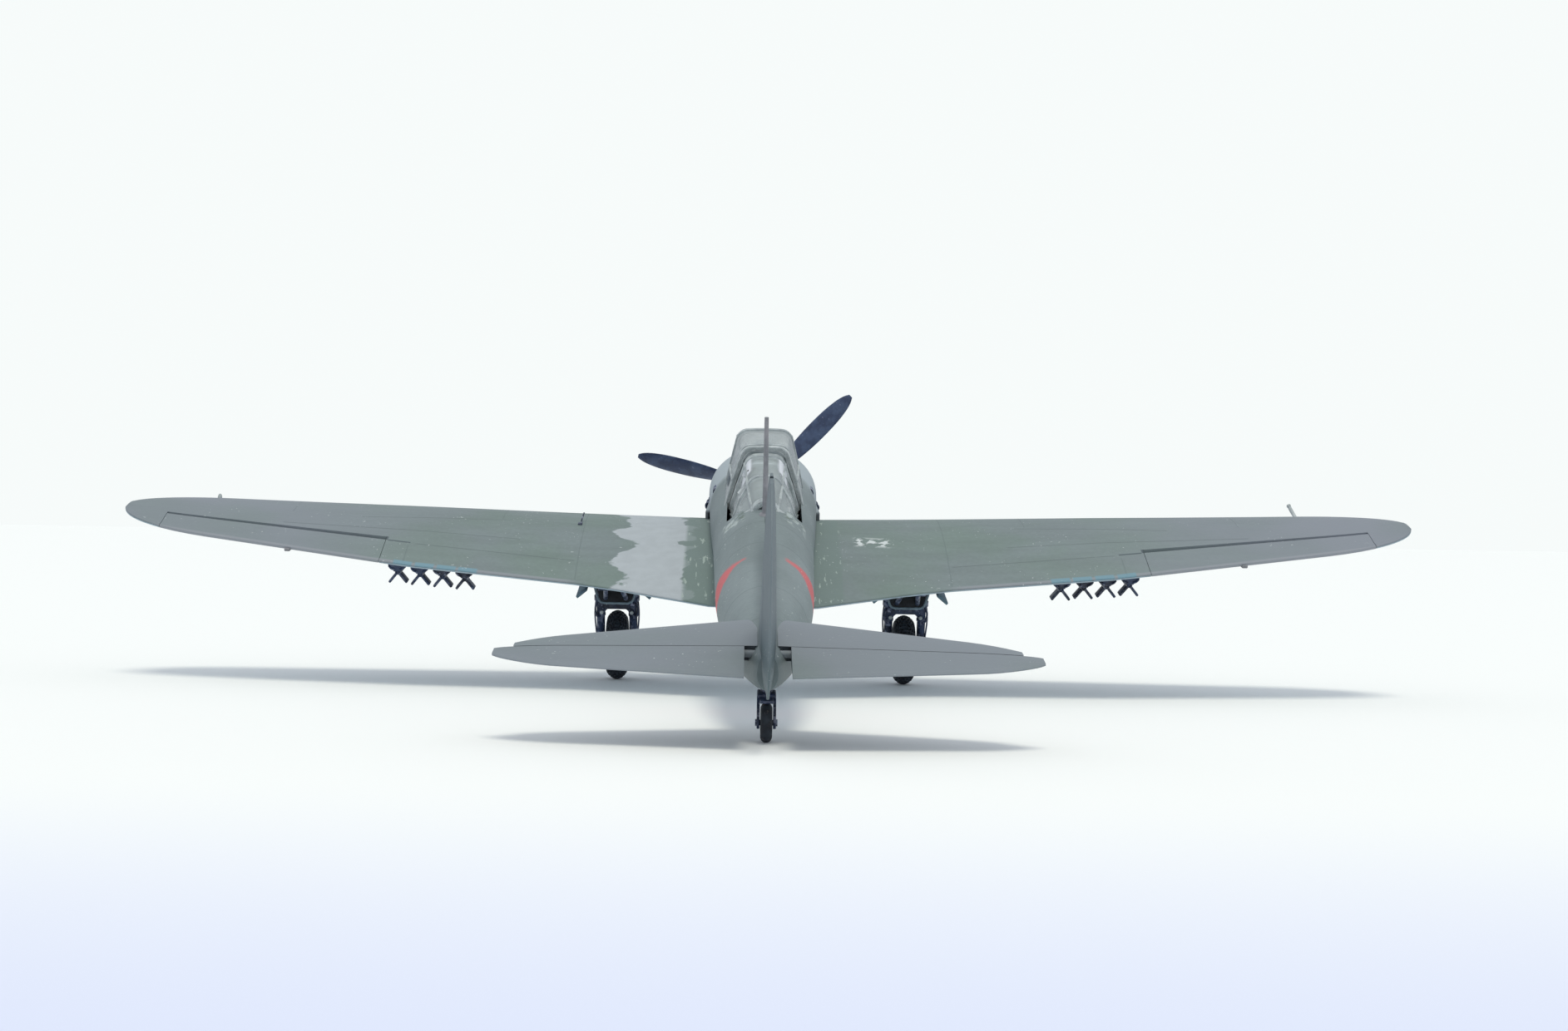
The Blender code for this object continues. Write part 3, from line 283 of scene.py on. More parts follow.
def carve(bm, *cutters):
    """Cut closed shapes out of a closed shape."""
    holders = []
    for shape in (bm, *cutters):
        bmesh.ops.recalc_face_normals(shape, faces=shape.faces)
        mesh = bpy.data.meshes.new("carving")
        shape.to_mesh(mesh)
        shape.free()
        holder = bpy.data.objects.new("carving", mesh)
        SCENE.collection.objects.link(holder)
        holders.append(holder)
    for tool in holders[1:]:
        step = holders[0].modifiers.new("cut", "BOOLEAN")
        step.operation = "DIFFERENCE"
        step.solver = "EXACT"
        step.object = tool
    seen = holders[0].evaluated_get(bpy.context.evaluated_depsgraph_get())
    result = bmesh.new()
    result.from_mesh(seen.to_mesh())
    seen.to_mesh_clear()
    for holder in holders:
        mesh = holder.data
        bpy.data.objects.remove(holder, do_unlink=True)
        bpy.data.meshes.remove(mesh)
    return result


def add(name, bm, body, material, replaces=(), sharp=38.0):
    """Place a bmesh in the model's frame as a finished piece that rides on a body."""
    bmesh.ops.recalc_face_normals(bm, faces=bm.faces)
    bmesh.ops.transform(bm, verts=bm.verts, matrix=AIRFRAME)
    mesh = bpy.data.meshes.new(name)
    bm.to_mesh(mesh)
    bm.free()
    mesh.shade_smooth()
    mesh.set_sharp_from_angle(angle=math.radians(sharp))
    mesh.materials.append(material)
    piece = bpy.data.objects.new(name, mesh)
    SCENE.collection.objects.link(piece)
    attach(piece, body)
    if replaces:
        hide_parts(*replaces)
    return piece


# ---- materials ----
def srgb(red, green, blue):
    """A colour given as the eye reads it, 0 to 255, in linear light."""
    channels = [channel / 255 for channel in (red, green, blue)]
    return [c / 12.92 if c <= 0.04045 else ((c + 0.055) / 1.055) ** 2.4 for c in channels]


UPPER_GREY = srgb(117, 129, 131)
UPPER_GREEN = srgb(112, 128, 124)
UPPER_LILAC = srgb(130, 136, 146)
UNDER_BLUE = srgb(158, 176, 186)
PALE_PRIMER = srgb(170, 177, 183)
BARE_PLASTIC = srgb(206, 212, 214)
BAND_RED = srgb(204, 92, 96)
NAVY = srgb(42, 60, 92)
NAVY_DARK = srgb(22, 32, 54)
# pale lilac for painted highlights and chips on dark parts' edges
LILAC_HIGHLIGHT_AND_WEAR = srgb(170, 176, 200)
RUBBER = srgb(36, 44, 54)
# brownish painted highlight on the tread blocks' edges, with dust
RUBBER_HIGHLIGHT_AND_DUST = srgb(96, 88, 84)
STEEL = srgb(120, 124, 130)
INTERIOR = srgb(150, 158, 160)
GLASS_TINT = srgb(196, 206, 208)
PANEL_LINE = srgb(84, 98, 100)
# dark tone for grime, dark joints and painted shade
GRIME_AND_SHADE = srgb(74, 86, 92)


class Paint:
    """One material's nodes.  Every method that makes a node returns the socket that it gives."""

    def __init__(self, name, roughness, metallic=0.0):
        self.material = bpy.data.materials.new(name)
        self.material.use_nodes = True
        self.tree = self.material.node_tree
        self.shader = self.tree.nodes["Principled BSDF"]
        self.shader.inputs["Roughness"].default_value = roughness
        self.shader.inputs["Metallic"].default_value = metallic
        place = self.node("ShaderNodeMapping", vector_type="TEXTURE")
        self.wire(self.node("ShaderNodeTexCoord").outputs["Object"], place.inputs["Vector"])
        place.inputs["Location"].default_value = NOSE
        place.inputs["Rotation"].default_value = AIRFRAME.to_euler()
        place.inputs["Scale"].default_value = (MM, MM, MM)
        self.point = place.outputs["Vector"]
        parts = self.node("ShaderNodeSeparateXYZ")
        self.wire(self.point, parts.inputs[0])
        self.x, self.s, self.h = parts.outputs

    def node(self, kind, **settings):
        node = self.tree.nodes.new(kind)
        for key, value in settings.items():
            setattr(node, key, value)
        return node

    def wire(self, value, socket):
        if isinstance(value, bpy.types.NodeSocket):
            self.tree.links.new(value, socket)
        elif socket.type == "RGBA":
            socket.default_value = (*value, 1.0)
        else:
            socket.default_value = value

    def math(self, operation, *values, clamp=False):
        node = self.node("ShaderNodeMath", operation=operation, use_clamp=clamp)
        for value, socket in zip(values, node.inputs):
            self.wire(value, socket)
        return node.outputs[0]

    def times(self, value, factor):
        return self.math("MULTIPLY", value, factor)

    def ramp(self, value, low, high, start=0.0, end=1.0):
        """A smooth change from start to end as the value goes from low to high."""
        node = self.node("ShaderNodeMapRange", interpolation_type="SMOOTHSTEP")
        for key, entry in zip((0, 1, 2, 3, 4), (value, low, high, start, end)):
            self.wire(entry, node.inputs[key])
        return node.outputs[0]

    def between(self, value, low, high, soft):
        rise = self.ramp(value, low - soft, low + soft)
        return self.math("MULTIPLY", rise, self.ramp(value, high - soft, high + soft, 1.0, 0.0))

    def line(self, value, at, half_width):
        """1 on a thin line where the value equals at."""
        distance = self.math("ABSOLUTE", self.math("SUBTRACT", value, at))
        return self.ramp(distance, half_width * 0.4, half_width * 1.6, 1.0, 0.0)

    def noise(self, size, detail=3.0, stretch=(1.0, 1.0, 1.0), offset=0.0):
        """Cloudy variation from 0 to 1 whose features are about size millimetres."""
        place = self.node("ShaderNodeMapping")
        self.wire(self.point, place.inputs["Vector"])
        place.inputs["Scale"].default_value = [1.0 / (size * factor) for factor in stretch]
        place.inputs["Location"].default_value = (offset, offset * 0.7, -offset)
        node = self.node("ShaderNodeTexNoise")
        node.inputs["Scale"].default_value = 1.0
        node.inputs["Detail"].default_value = detail
        self.wire(place.outputs["Vector"], node.inputs["Vector"])
        return node.outputs[0]

    def mix(self, share, low, high):
        node = self.node("ShaderNodeMix", data_type="RGBA", clamp_factor=True)
        self.wire(share, node.inputs["Factor"])
        self.wire(low, node.inputs[6])
        self.wire(high, node.inputs[7])
        return node.outputs[2]

    def both(self, *masks):
        result = masks[0]
        for mask in masks[1:]:
            result = self.math("MULTIPLY", result, mask)
        return result

    def either(self, *masks):
        result = masks[0]
        for mask in masks[1:]:
            result = self.math("MAXIMUM", result, mask)
        return result

    def shade(self, colour, low, high, value):
        """The colour made darker or lighter by a varying value."""
        node = self.node("ShaderNodeVectorMath", operation="SCALE")
        self.wire(colour, node.inputs[0])
        self.wire(self.ramp(value, 0.3, 0.7, low, high), node.inputs["Scale"])
        return node.outputs[0]

    def finish(self, colour, height, depth):
        """Send the colour to the shader, and bumps of the given depth in millimetres."""
        self.wire(colour, self.shader.inputs["Base Color"])
        bump = self.node("ShaderNodeBump")
        bump.inputs["Distance"].default_value = depth * MM
        self.wire(height, bump.inputs["Height"])
        self.wire(bump.outputs[0], self.shader.inputs["Normal"])
        return self.material


def brushed(paint, tone, other, streak=(1.0, 1.0, 1.0)):
    """A brush-painted tone: broad patches, streaks and a fine mottle."""
    broad = paint.ramp(paint.noise(16.0, 3.0, offset=3.1), 0.38, 0.66)
    colour = paint.mix(broad, tone, other)
    colour = paint.shade(colour, 0.94, 1.05, paint.noise(5.0, 4.0, stretch=streak))
    return paint.shade(colour, 0.96, 1.03, paint.noise(0.7, 5.0, offset=8.0))


def dusted(paint, colour, amount=0.72):
    """Pale specks of dust and small rubbed spots."""
    specks = paint.ramp(paint.noise(0.42, 1.0, offset=17.0), amount, amount + 0.03)
    sparse = paint.ramp(paint.noise(7.0, 2.0, offset=29.0), 0.5, 0.62)
    return paint.mix(paint.times(specks, paint.times(sparse, 0.75)), colour, BARE_PLASTIC)


def rubbed(paint, colour, edge, worn=BARE_PLASTIC, strength=0.8):
    """Paint worn through in ragged chips where edge is near 1."""
    chips = paint.ramp(paint.noise(0.9, 4.0, offset=41.0), 0.56, 0.62)
    return paint.mix(paint.times(paint.both(chips, edge), strength), colour, worn)


def wing_lines(paint, span):
    """Panel lines of the wing's skins: spanwise runs and rib joints."""
    front = paint.math("MULTIPLY_ADD", span, -0.09, paint.s)
    runs = [paint.both(paint.line(front, 45.9, 0.1), paint.between(span, 40.0, 64.0, 0.2))]
    middle = paint.math("MULTIPLY_ADD", span, 0.075, paint.s)
    runs.append(paint.both(paint.line(middle, 61.2, 0.09), paint.between(span, 38.0, 76.0, 0.2)))
    rear = paint.math("MULTIPLY_ADD", span, 0.11, paint.s)
    runs.append(paint.both(paint.line(rear, 68.2, 0.1), paint.between(span, 29.0, 54.0, 0.2)))
    for x, low, high in ((28.5, 33, 71), (41.8, 36, 49), (55.0, 63, 69), (75.5, 37, 50.2)):
        rib = paint.both(paint.line(span, x, 0.08), paint.between(paint.s, low, high, 0.1))
        runs.append(paint.times(rib, 0.45))
    return paint.either(*runs)


def flap_groove(paint, span):
    """The dark joint that carries the aileron's line inboard, with a notch for a bracket."""
    slope = (HINGE_AT[1] - HINGE_AT[0]) / (AILERON[1] - AILERON[0])
    start = HINGE_AT[0] - slope * AILERON[0] - 0.5
    along = paint.math("MULTIPLY_ADD", span, -slope, paint.s)
    far = paint.both(paint.line(along, start + 0.5, 0.2), paint.between(span, 54.8, 58.4, 0.1))
    notch = paint.both(paint.line(span, 58.65, 0.2), paint.between(along, start - 0.7, start + 0.5, 0.1))
    return paint.either(far, notch)


def rear_edge(paint, span, width):
    """1 on the strip of the given width along the wing's trailing edge."""
    inner = paint.math("MULTIPLY_ADD", span, (69.4 - 71.9) / 25.5, 71.9 + 28.5 * 2.5 / 25.5 - width)
    outer = paint.math("MULTIPLY_ADD", span, -12.0 / 47.8, 69.4 + 54.0 * 12.0 / 47.8 - width)
    edge = paint.math("MINIMUM", inner, outer)
    return paint.both(paint.ramp(paint.math("SUBTRACT", paint.s, edge), -0.2, 0.2), paint.ramp(span, 27.0, 31.0))


def make_upper_paint():
    """Wing and tail tops: worn grey-green, a pale patch inboard to port, scratches at
    the root and a pale glue mark to starboard."""
    paint = Paint("upper_paint", 0.62)
    span = paint.math("ABSOLUTE", paint.x)
    colour = brushed(paint, UPPER_GREY, UPPER_GREEN, streak=(2.5, 0.6, 1.0))
    tail = paint.ramp(paint.s, 90.0, 91.0)
    cloudy = paint.ramp(paint.noise(22.0, 2.0), 0.35, 0.6, 0.55, 1.0)
    cool = paint.both(paint.either(paint.ramp(span, 35.0, 92.0), paint.times(tail, 0.8)), cloudy)
    colour = paint.mix(cool, colour, UPPER_LILAC)
    front_edge = paint.ramp(paint.math("SUBTRACT", paint.s, paint.times(span, 0.08)), 30.6, 33.4, 1.0, 0.0)
    colour = paint.mix(paint.times(front_edge, 0.45), colour, UPPER_LILAC)
    colour = rubbed(paint, colour, front_edge)
    jagged = paint.times(paint.math("SUBTRACT", paint.noise(4.6, 5.0, (1.3, 1.0, 1.0)), 0.5), 14.0)
    reach = paint.math("ADD", paint.x, jagged)
    on_wing = paint.ramp(paint.s, 90.0, 91.0, 1.0, 0.0)
    patch = paint.both(paint.between(reach, 11.8, 22.0, 0.35), on_wing)
    colour = paint.mix(patch, colour, paint.shade(PALE_PRIMER, 0.95, 1.03, paint.noise(2.0, 4.0, offset=5.0)))
    root = paint.both(paint.ramp(span, 11.6, 12.4, 1.0, 0.0), on_wing)
    colour = paint.mix(paint.times(root, 0.75), colour, srgb(108, 125, 122))
    scratches = paint.ramp(paint.noise(1.3, 3.0, (0.5, 3.0, 1.0), offset=11.0), 0.63, 0.67)
    colour = paint.mix(paint.both(scratches, root, 0.7), colour, srgb(168, 182, 176))
    lines = wing_lines(paint, span)
    wings_only = paint.ramp(paint.s, 84.0, 85.0, 1.0, 0.0)
    lines = paint.both(lines, wings_only)
    colour = paint.mix(paint.times(lines, 0.55), colour, PANEL_LINE)
    colour = paint.mix(paint.both(flap_groove(paint, span), wings_only), colour, GRIME_AND_SHADE)
    glue = paint.both(paint.between(paint.x, -19.8, -14.4, 0.5), paint.between(paint.s, 55.0, 58.6, 0.8),
                      paint.ramp(paint.noise(1.1, 3.0, offset=14.0), 0.5, 0.56))
    colour = paint.mix(glue, colour, BARE_PLASTIC)
    strip = paint.both(rear_edge(paint, span, 0.8), wings_only)
    colour = paint.mix(paint.times(strip, 0.7), colour, srgb(142, 146, 154))
    over_stores = paint.either(*[paint.between(span, x - 1.45, x + 1.45, 0.15) for x in (44.9, 48.2, 51.6, 55.0)])
    colour = paint.mix(paint.both(rear_edge(paint, span, 1.2), wings_only, over_stores), colour, srgb(112, 146, 160))
    colour = dusted(paint, colour)
    height = paint.math("SUBTRACT", paint.noise(0.5, 4.0), paint.times(lines, 2.0))
    return paint.finish(colour, height, 0.03)


def make_under_paint():
    """Pale blue undersides with a few panel lines and grime."""
    paint = Paint("under_paint", 0.6)
    span = paint.math("ABSOLUTE", paint.x)
    colour = brushed(paint, UNDER_BLUE, srgb(148, 168, 180), streak=(2.0, 0.7, 1.0))
    lines = paint.both(wing_lines(paint, span), paint.ramp(paint.s, 84.0, 85.0, 1.0, 0.0))
    colour = paint.mix(paint.times(lines, 0.5), colour, srgb(104, 122, 134))
    darkening = paint.both(paint.between(span, 17.0, 30.0, 3.0), paint.ramp(paint.noise(4.0, 4.0), 0.45, 0.7))
    colour = paint.mix(paint.times(darkening, 0.35), colour, GRIME_AND_SHADE)
    strip = paint.both(rear_edge(paint, span, 0.6), paint.ramp(paint.s, 84.0, 85.0, 1.0, 0.0))
    outboard = paint.both(strip, paint.ramp(span, 56.0, 62.0))
    colour = paint.mix(outboard, colour, srgb(110, 116, 116))
    colour = dusted(paint, colour)
    height = paint.math("SUBTRACT", paint.noise(0.5, 4.0), paint.times(lines, 2.0))
    return paint.finish(colour, height, 0.03)


def make_hull_paint():
    """Fuselage: grey-green above, blue below, a red band, a dark spine of painted fin shadow and scuffs by the
    cockpit.
    """
    paint = Paint("hull_paint", 0.6)
    span = paint.math("ABSOLUTE", paint.x)
    colour = brushed(paint, UPPER_GREY, srgb(126, 137, 140), streak=(0.8, 2.5, 0.8))
    cowl = paint.ramp(paint.s, 46.0, 50.0, 1.0, 0.0)
    colour = paint.mix(paint.times(cowl, 0.9), colour, srgb(166, 177, 184))
    fin = paint.both(paint.ramp(paint.s, 128.0, 136.0), paint.ramp(paint.h, 8.5, 11.0))
    colour = paint.mix(paint.times(fin, 0.8), colour, srgb(140, 152, 160))
    # painted shadow of the fin and rudder: the top centreline is darkened aft of the mast
    spine = paint.both(paint.ramp(span, 0.3, 2.2, 1.0, 0.0), paint.ramp(paint.s, 84.0, 108.0),
                       paint.ramp(paint.h, 6.0, 7.5))
    colour = paint.mix(paint.times(spine, 0.6), colour, GRIME_AND_SHADE)
    waist = paint.times(paint.math("SUBTRACT", paint.noise(6.0, 3.0), 0.5), 1.6)
    below = paint.ramp(paint.math("ADD", paint.h, waist), -1.6, -1.0, 1.0, 0.0)
    colour = paint.mix(below, colour, paint.shade(UNDER_BLUE, 0.95, 1.04, paint.noise(4.0, 4.0)))
    ragged = paint.times(paint.math("SUBTRACT", paint.noise(2.4, 4.0, offset=2.0), 0.5), 2.4)
    band_at = paint.math("ADD", paint.s, ragged)
    thick = paint.ramp(paint.h, 8.9, 3.6, 0.4, 3.6)
    distance = paint.math("ABSOLUTE", paint.math("SUBTRACT", band_at, 103.4))
    excess = paint.math("SUBTRACT", distance, thick)
    band = paint.both(paint.ramp(excess, -0.8, 0.8, 1.0, 0.0), paint.ramp(paint.h, 9.2, 8.5),
                      paint.ramp(span, 2.4, 3.1))
    colour = paint.mix(paint.times(band, 0.9), colour, BAND_RED)
    tail_end = paint.both(paint.ramp(paint.s, 146.0, 151.0), paint.ramp(paint.h, 15.0, 5.0))
    colour = paint.mix(paint.times(tail_end, 0.75), colour, srgb(58, 82, 90))
    sill = paint.both(paint.between(paint.s, 77.2, 82.8, 0.9), paint.between(span, 3.0, 6.4, 0.4),
                      paint.ramp(paint.h, 6.6, 7.6))
    scuffs = paint.both(sill, paint.ramp(paint.noise(1.4, 4.0, offset=6.0), 0.46, 0.56))
    colour = paint.mix(paint.times(scuffs, 0.8), colour, srgb(176, 186, 186))
    moss = paint.both(sill, paint.ramp(paint.noise(1.8, 4.0, offset=9.0), 0.52, 0.6))
    colour = paint.mix(paint.times(moss, 0.8), colour, srgb(86, 102, 92))
    joints = [paint.line(paint.s, s, 0.07) for s in (15.2, 33.6, 47.2, 86.0, 97.0, 119.0, 133.0)]
    runs = [paint.both(paint.line(paint.h, h, 0.07), paint.ramp(paint.s, 46.0, 47.0, 1.0, 0.0)) for h in (5.2, -2.6)]
    lines = paint.either(*joints, *runs)
    colour = paint.mix(paint.times(lines, 0.55), colour, PANEL_LINE)
    # exhaust soot aft of the stacks, with painted shade where it fills the heat shroud's open slot
    darkening = paint.both(paint.between(paint.s, 36.0, 57.0, 3.0), paint.between(paint.h, -0.8, 2.8, 0.5))
    colour = paint.mix(paint.times(darkening, 0.85), colour, srgb(34, 38, 48))
    colour = dusted(paint, colour)
    height = paint.math("SUBTRACT", paint.noise(0.5, 4.0), paint.times(lines, 2.0))
    return paint.finish(colour, height, 0.03)


def make_plain_paint(name, tone, other, roughness=0.6, metallic=0.0, size=3.0, edge=None, highlight_and_wear_share=0.35):
    """A two-tone brushed finish; edge is the colour of painted highlights on sharp edges and of rubbed chips."""
    paint = Paint(name, roughness, metallic)
    colour = paint.mix(paint.ramp(paint.noise(size, 4.0), 0.4, 0.62), tone, other)
    colour = paint.shade(colour, 0.9, 1.08, paint.noise(0.6, 4.0, offset=4.0))
    if edge:
        # painted highlight on raised edges found by pointiness, mixed with chipped wear
        raised_highlight = paint.ramp(paint.node("ShaderNodeNewGeometry").outputs["Pointiness"], 0.52, 0.62)
        rubs = paint.ramp(paint.noise(0.8, 4.0, offset=21.0), 0.48, 0.62)
        chips = paint.times(paint.ramp(paint.noise(0.5, 3.0, offset=33.0), 0.68, 0.7), 0.6)
        worn = paint.either(paint.both(raised_highlight, rubs), chips)
        colour = paint.mix(paint.times(worn, highlight_and_wear_share), colour, edge)
    return paint.finish(colour, paint.noise(0.35, 5.0), 0.03)


def make_glazing():
    """Clear moulded plastic, faintly milky, with scratches that roughen it and a painted reflection on the rear
    glazing.
    """
    paint = Paint("clear_plastic", 0.12)
    haze = paint.noise(2.2, 4.0)
    colour = paint.mix(paint.ramp(haze, 0.4, 0.65), GLASS_TINT, srgb(172, 182, 184))
    span = paint.math("ABSOLUTE", paint.x)
    # painted reflection: whitish, more opaque patches on both sides of the rear glazing's front
    painted_reflection = paint.both(paint.between(paint.s, 67.0, 70.8, 0.4), paint.between(span, 2.0, 3.5, 0.3),
                        paint.ramp(paint.h, 10.5, 12.0))
    colour = paint.mix(painted_reflection, colour, srgb(232, 236, 244))
    opacity = paint.either(paint.ramp(haze, 0.35, 0.7, 0.42, 0.6), paint.times(painted_reflection, 0.85))
    paint.wire(opacity, paint.shader.inputs["Alpha"])
    return paint.finish(colour, paint.noise(1.5, 2.0), 0.02)


UPPER = make_upper_paint()
UNDER = make_under_paint()
HULL_PAINT = make_hull_paint()
DARK = make_plain_paint("dark_paint", NAVY, NAVY_DARK, 0.45, edge=LILAC_HIGHLIGHT_AND_WEAR, highlight_and_wear_share=0.65)
BLADE_PAINT = make_plain_paint("blade_paint", srgb(60, 76, 106), srgb(42, 56, 86), 0.45, size=2.0, edge=LILAC_HIGHLIGHT_AND_WEAR)
TYRE = make_plain_paint("tyre_paint", RUBBER, srgb(24, 30, 40), 0.75, size=1.2, edge=RUBBER_HIGHLIGHT_AND_DUST, highlight_and_wear_share=0.7)
METAL = make_plain_paint("metal_paint", STEEL, srgb(92, 98, 106), 0.4, 0.6)
PALE_METAL = make_plain_paint("mast_paint", srgb(140, 140, 146), srgb(118, 120, 126), 0.5)
COCKPIT_PAINT = make_plain_paint("cockpit_paint", INTERIOR, srgb(122, 132, 134), 0.6)
STRUT_PAINT = make_plain_paint("strut_paint", srgb(190, 196, 198), srgb(164, 172, 174), 0.55, size=1.5)
FRAME_PAINT = make_plain_paint("frame_paint", srgb(176, 184, 186), srgb(150, 158, 162), 0.5, size=1.5)
MOSS = make_plain_paint("mount_paint", srgb(104, 104, 92), srgb(44, 46, 46), 0.7, size=0.7)
# near-black painted shade for holes and the insides of the gear bays
SHADE_BLACK = make_plain_paint("painted_shade_black", srgb(20, 22, 28), srgb(34, 38, 44), 0.8)
DOOR = make_plain_paint("door_paint", srgb(96, 124, 138), srgb(70, 96, 114), 0.6, edge=UNDER_BLUE)
RAIL = make_plain_paint("rail_paint", srgb(128, 148, 160), srgb(112, 130, 142), 0.6)
GLASS = make_glazing()


# ---- fuselage ----
def hull_point(s, turn, inset=0.0):
    """A point of the fuselage section at s; turn runs from 0 at the top to pi at the bottom."""
    half_width, top, bottom, middle = read_table(HULL, s)
    reach = (top if math.cos(turn) > 0 else bottom) - middle
    reach = math.copysign(abs(reach) - inset, reach)
    return Vector(((half_width - inset) * math.sin(turn), s, middle + abs(math.cos(turn)) * reach))


def make_fuselage():
    """Two half shells with the cockpit opening, the tail wheel's hole and the elevators' bar hole."""
    sides = 30
    turns = steps(0.0, math.pi, sides)
    stations = [8.9, 9.3, 10.2] + steps(12.0, 136.0, 62) + [139.0, 142.0, 145.0, 147.4, 148.6]
    for label, side in SIDES:
        rings = []
        for s in stations:
            wall = min(HULL_WALL, 0.4 * read_table(HULL, s)[0])
            outer = [hull_point(s, turn) for turn in turns]
            inner = [hull_point(s, turn, wall) for turn in reversed(turns)]
            if s > 137.0:
                inner = [Vector((0.0, point.y, point.z)) for point in inner]
            rings.append([point + Vector((WING_SEAM / 2, 0, 0)) for point in outer + inner])
        opening = block((0, sum(COCKPIT) / 2, 14), (2 * SILL_HALF_WIDTH, COCKPIT[1] - COCKPIT[0], 20), bevel=1.2)
        hole = rod((0, TAIL_SWIVEL_AT, -3), (0, TAIL_SWIVEL_AT, 3), 0.85)
        bar_hole = rod((-4, ELEVATOR_HINGE, TAILPLANE_HEIGHT), (4, ELEVATOR_HINGE, TAILPLANE_HEIGHT), ELEVATOR_HOLE)
        shell = carve(loft(rings), opening, hole, bar_hole)
        add(f"fuselage_skin_{label}", mirrored(shell, side), "airframe", HULL_PAINT,
            [f"fuselage_{label}"])


def make_nose_details():
    """Intake on the cowl, chin lips, exhausts with hollow stubs and the belly cooler."""
    rings = []
    for s, half_width, rise in ((26.5, 2.0, 1.3), (27.2, 2.25, 1.5), (29.0, 2.35, 1.6), (34.0, 2.2, 1.2),
                                (40.0, 1.7, 0.6), (44.5, 0.9, 0.15)):
        base = read_table(HULL, s)[1] - 0.8
        turns = steps(0.0, math.pi, 20)
        rings.append([(half_width * math.cos(turn), s, base + (rise + 0.8) * math.sin(turn)) for turn in turns])
    cowl_top = read_table(HULL, 27.5)[1]
    mouth = block((0, 27.5, cowl_top + 0.8), (3.1, 4.0, 1.3), (4, 0, 0), 0.3)
    add("scoop_fairing", carve(loft(rings), mouth), "airframe", HULL_PAINT, ["air_scoop"])

    body = block((0, 42.0, -8.1), (6.4, 19.0, 4.2), bevel=0.6)
    duct = block((0, 34.0, -8.8), (4.9, 8.0, 1.7), bevel=0.2)
    slats = [block((x, 36.5, -8.8), (0.18, 3.0, 1.7)) for x in (-1.6, -0.8, 0.0, 0.8, 1.6)]
    flap = block((0, 51.6, -9.4), (5.6, 0.5, 1.6), (35, 0, 0), 0.1)
    add("cooler_box", group(carve(body, duct), *slats, flap), "airframe", UNDER, ["oil_cooler"])

    for label, side in SIDES:
        shapes = [block((6.8, 24.0, 1.6), (2.4, 17.2, 1.7), (0, 0, -5.5), 0.15)]
        for i in range(6):
            s = 16.6 + 2.8 * i
            x = hull_point(s, math.pi / 2)[0]
            root, end = Vector((x - 0.6, s, 1.6)), Vector((x + 0.25, s + 1.9, 1.4))
            pipe = [(0.85, 0.0), (0.8, (end - root).length), (0.6, (end - root).length), (0.62, 0.6), (0.0, 0.6)]
            shapes.append(lathe(pipe + [(0.0, 0.0)], root, end - root, 20))
        pipe = [(0.8, 0.0), (0.8, 2.2), (0.6, 2.2), (0.55, 0.8), (0.0, 0.8), (0.0, 0.0)]
        shapes.append(lathe(pipe, (7.3, 45.4, 6.9), (0.0, 1.0, -0.05), 20))
        shroud = block((8.3, 39.0, 0.9), (1.7, 8.0, 4.2), (0, 0, -3), 0.5)
        hollow = block((8.42, 42.2, 0.9), (0.8, 4.0, 3.3), (0, 0, -3), 0.2)
        add(f"heat_shroud_{label}", mirrored(carve(shroud, hollow), side), "airframe", HULL_PAINT)
        shapes.append(block((8.4, 40.9, 0.9), (0.7, 0.6, 3.2), bevel=0.1))
        add(f"exhaust_stack_{label}", mirrored(group(*shapes), side), "airframe", DARK,
            [f"exhausts_{label}"])


# ---- canopy and cockpit ----
def canopy_arch(arch, wall=0.0):
    """One arch of the canopy: slanted sides, rounded shoulders and a nearly flat top."""
    s, top, top_half, base_half, base = arch
    top, top_half, base_half = top - wall, top_half - wall, base_half - wall
    shoulder = 1.9 - 0.5 * wall
    points = [(base_half, base), (blend(base_half, top_half + 0.35, 0.55), blend(base, top, 0.45))]
    for turn in [math.radians(angle) for angle in (12, 25, 38, 51, 64, 77, 90)]:
        across = top_half - shoulder * (1 - math.cos(turn)) + 0.2
        points.append((across, top - shoulder * (1 - math.sin(turn)) - 0.08))
    half = [Vector((x, s, height)) for x, height in points]
    return half + [Vector((0.0, s, top))] + [Vector((-p.x, s, p.z)) for p in reversed(half)]


def arch_at(arches, s):
    row = read_table(arches, s)
    return (s, *row)


WINDSCREEN = ((47.3, 12.2, 3.0, 5.6, 8.0), (50.6, 16.0, 3.9, 5.9, 8.0), (52.6, 18.0, 4.15, 6.1, 8.0),
              (53.9, 18.2, 4.2, 6.2, 8.0))
HOOD_ARCHES = ((HOOD[0], 18.25, 4.25, 6.3, 8.0), (60.0, 17.9, 4.0, 6.2, 8.0), (HOOD[1], 17.4, 3.55, 6.0, 8.0))
REAR_ARCHES = ((66.2, 16.5, 2.9, 5.3, 8.0), (70.0, 15.4, 2.6, 5.0, 8.0), (75.0, 13.6, 2.2, 4.5, 8.0),
               (79.5, 11.7, 1.6, 3.8, 8.0))


def glazing(arches, count):
    rings = []
    for s in steps(arches[0][0], arches[-1][0], count):
        outer = canopy_arch(arch_at(arches, s))
        inner = canopy_arch(arch_at(arches, s), GLAZING)
        rings.append(outer + list(reversed(inner)))
    return loft(rings)


def hoop(arches, s, width, proud=0.12, depth=0.3):
    """A frame strip over the glazing at s."""
    rings = []
    for at in (s - width / 2, s + width / 2):
        at = min(max(at, arches[0][0]), arches[-1][0])
        outer = canopy_arch(arch_at(arches, at), -proud)
        inner = canopy_arch(arch_at(arches, at), depth)
        rings.append(outer + list(reversed(inner)))
    return loft(rings)


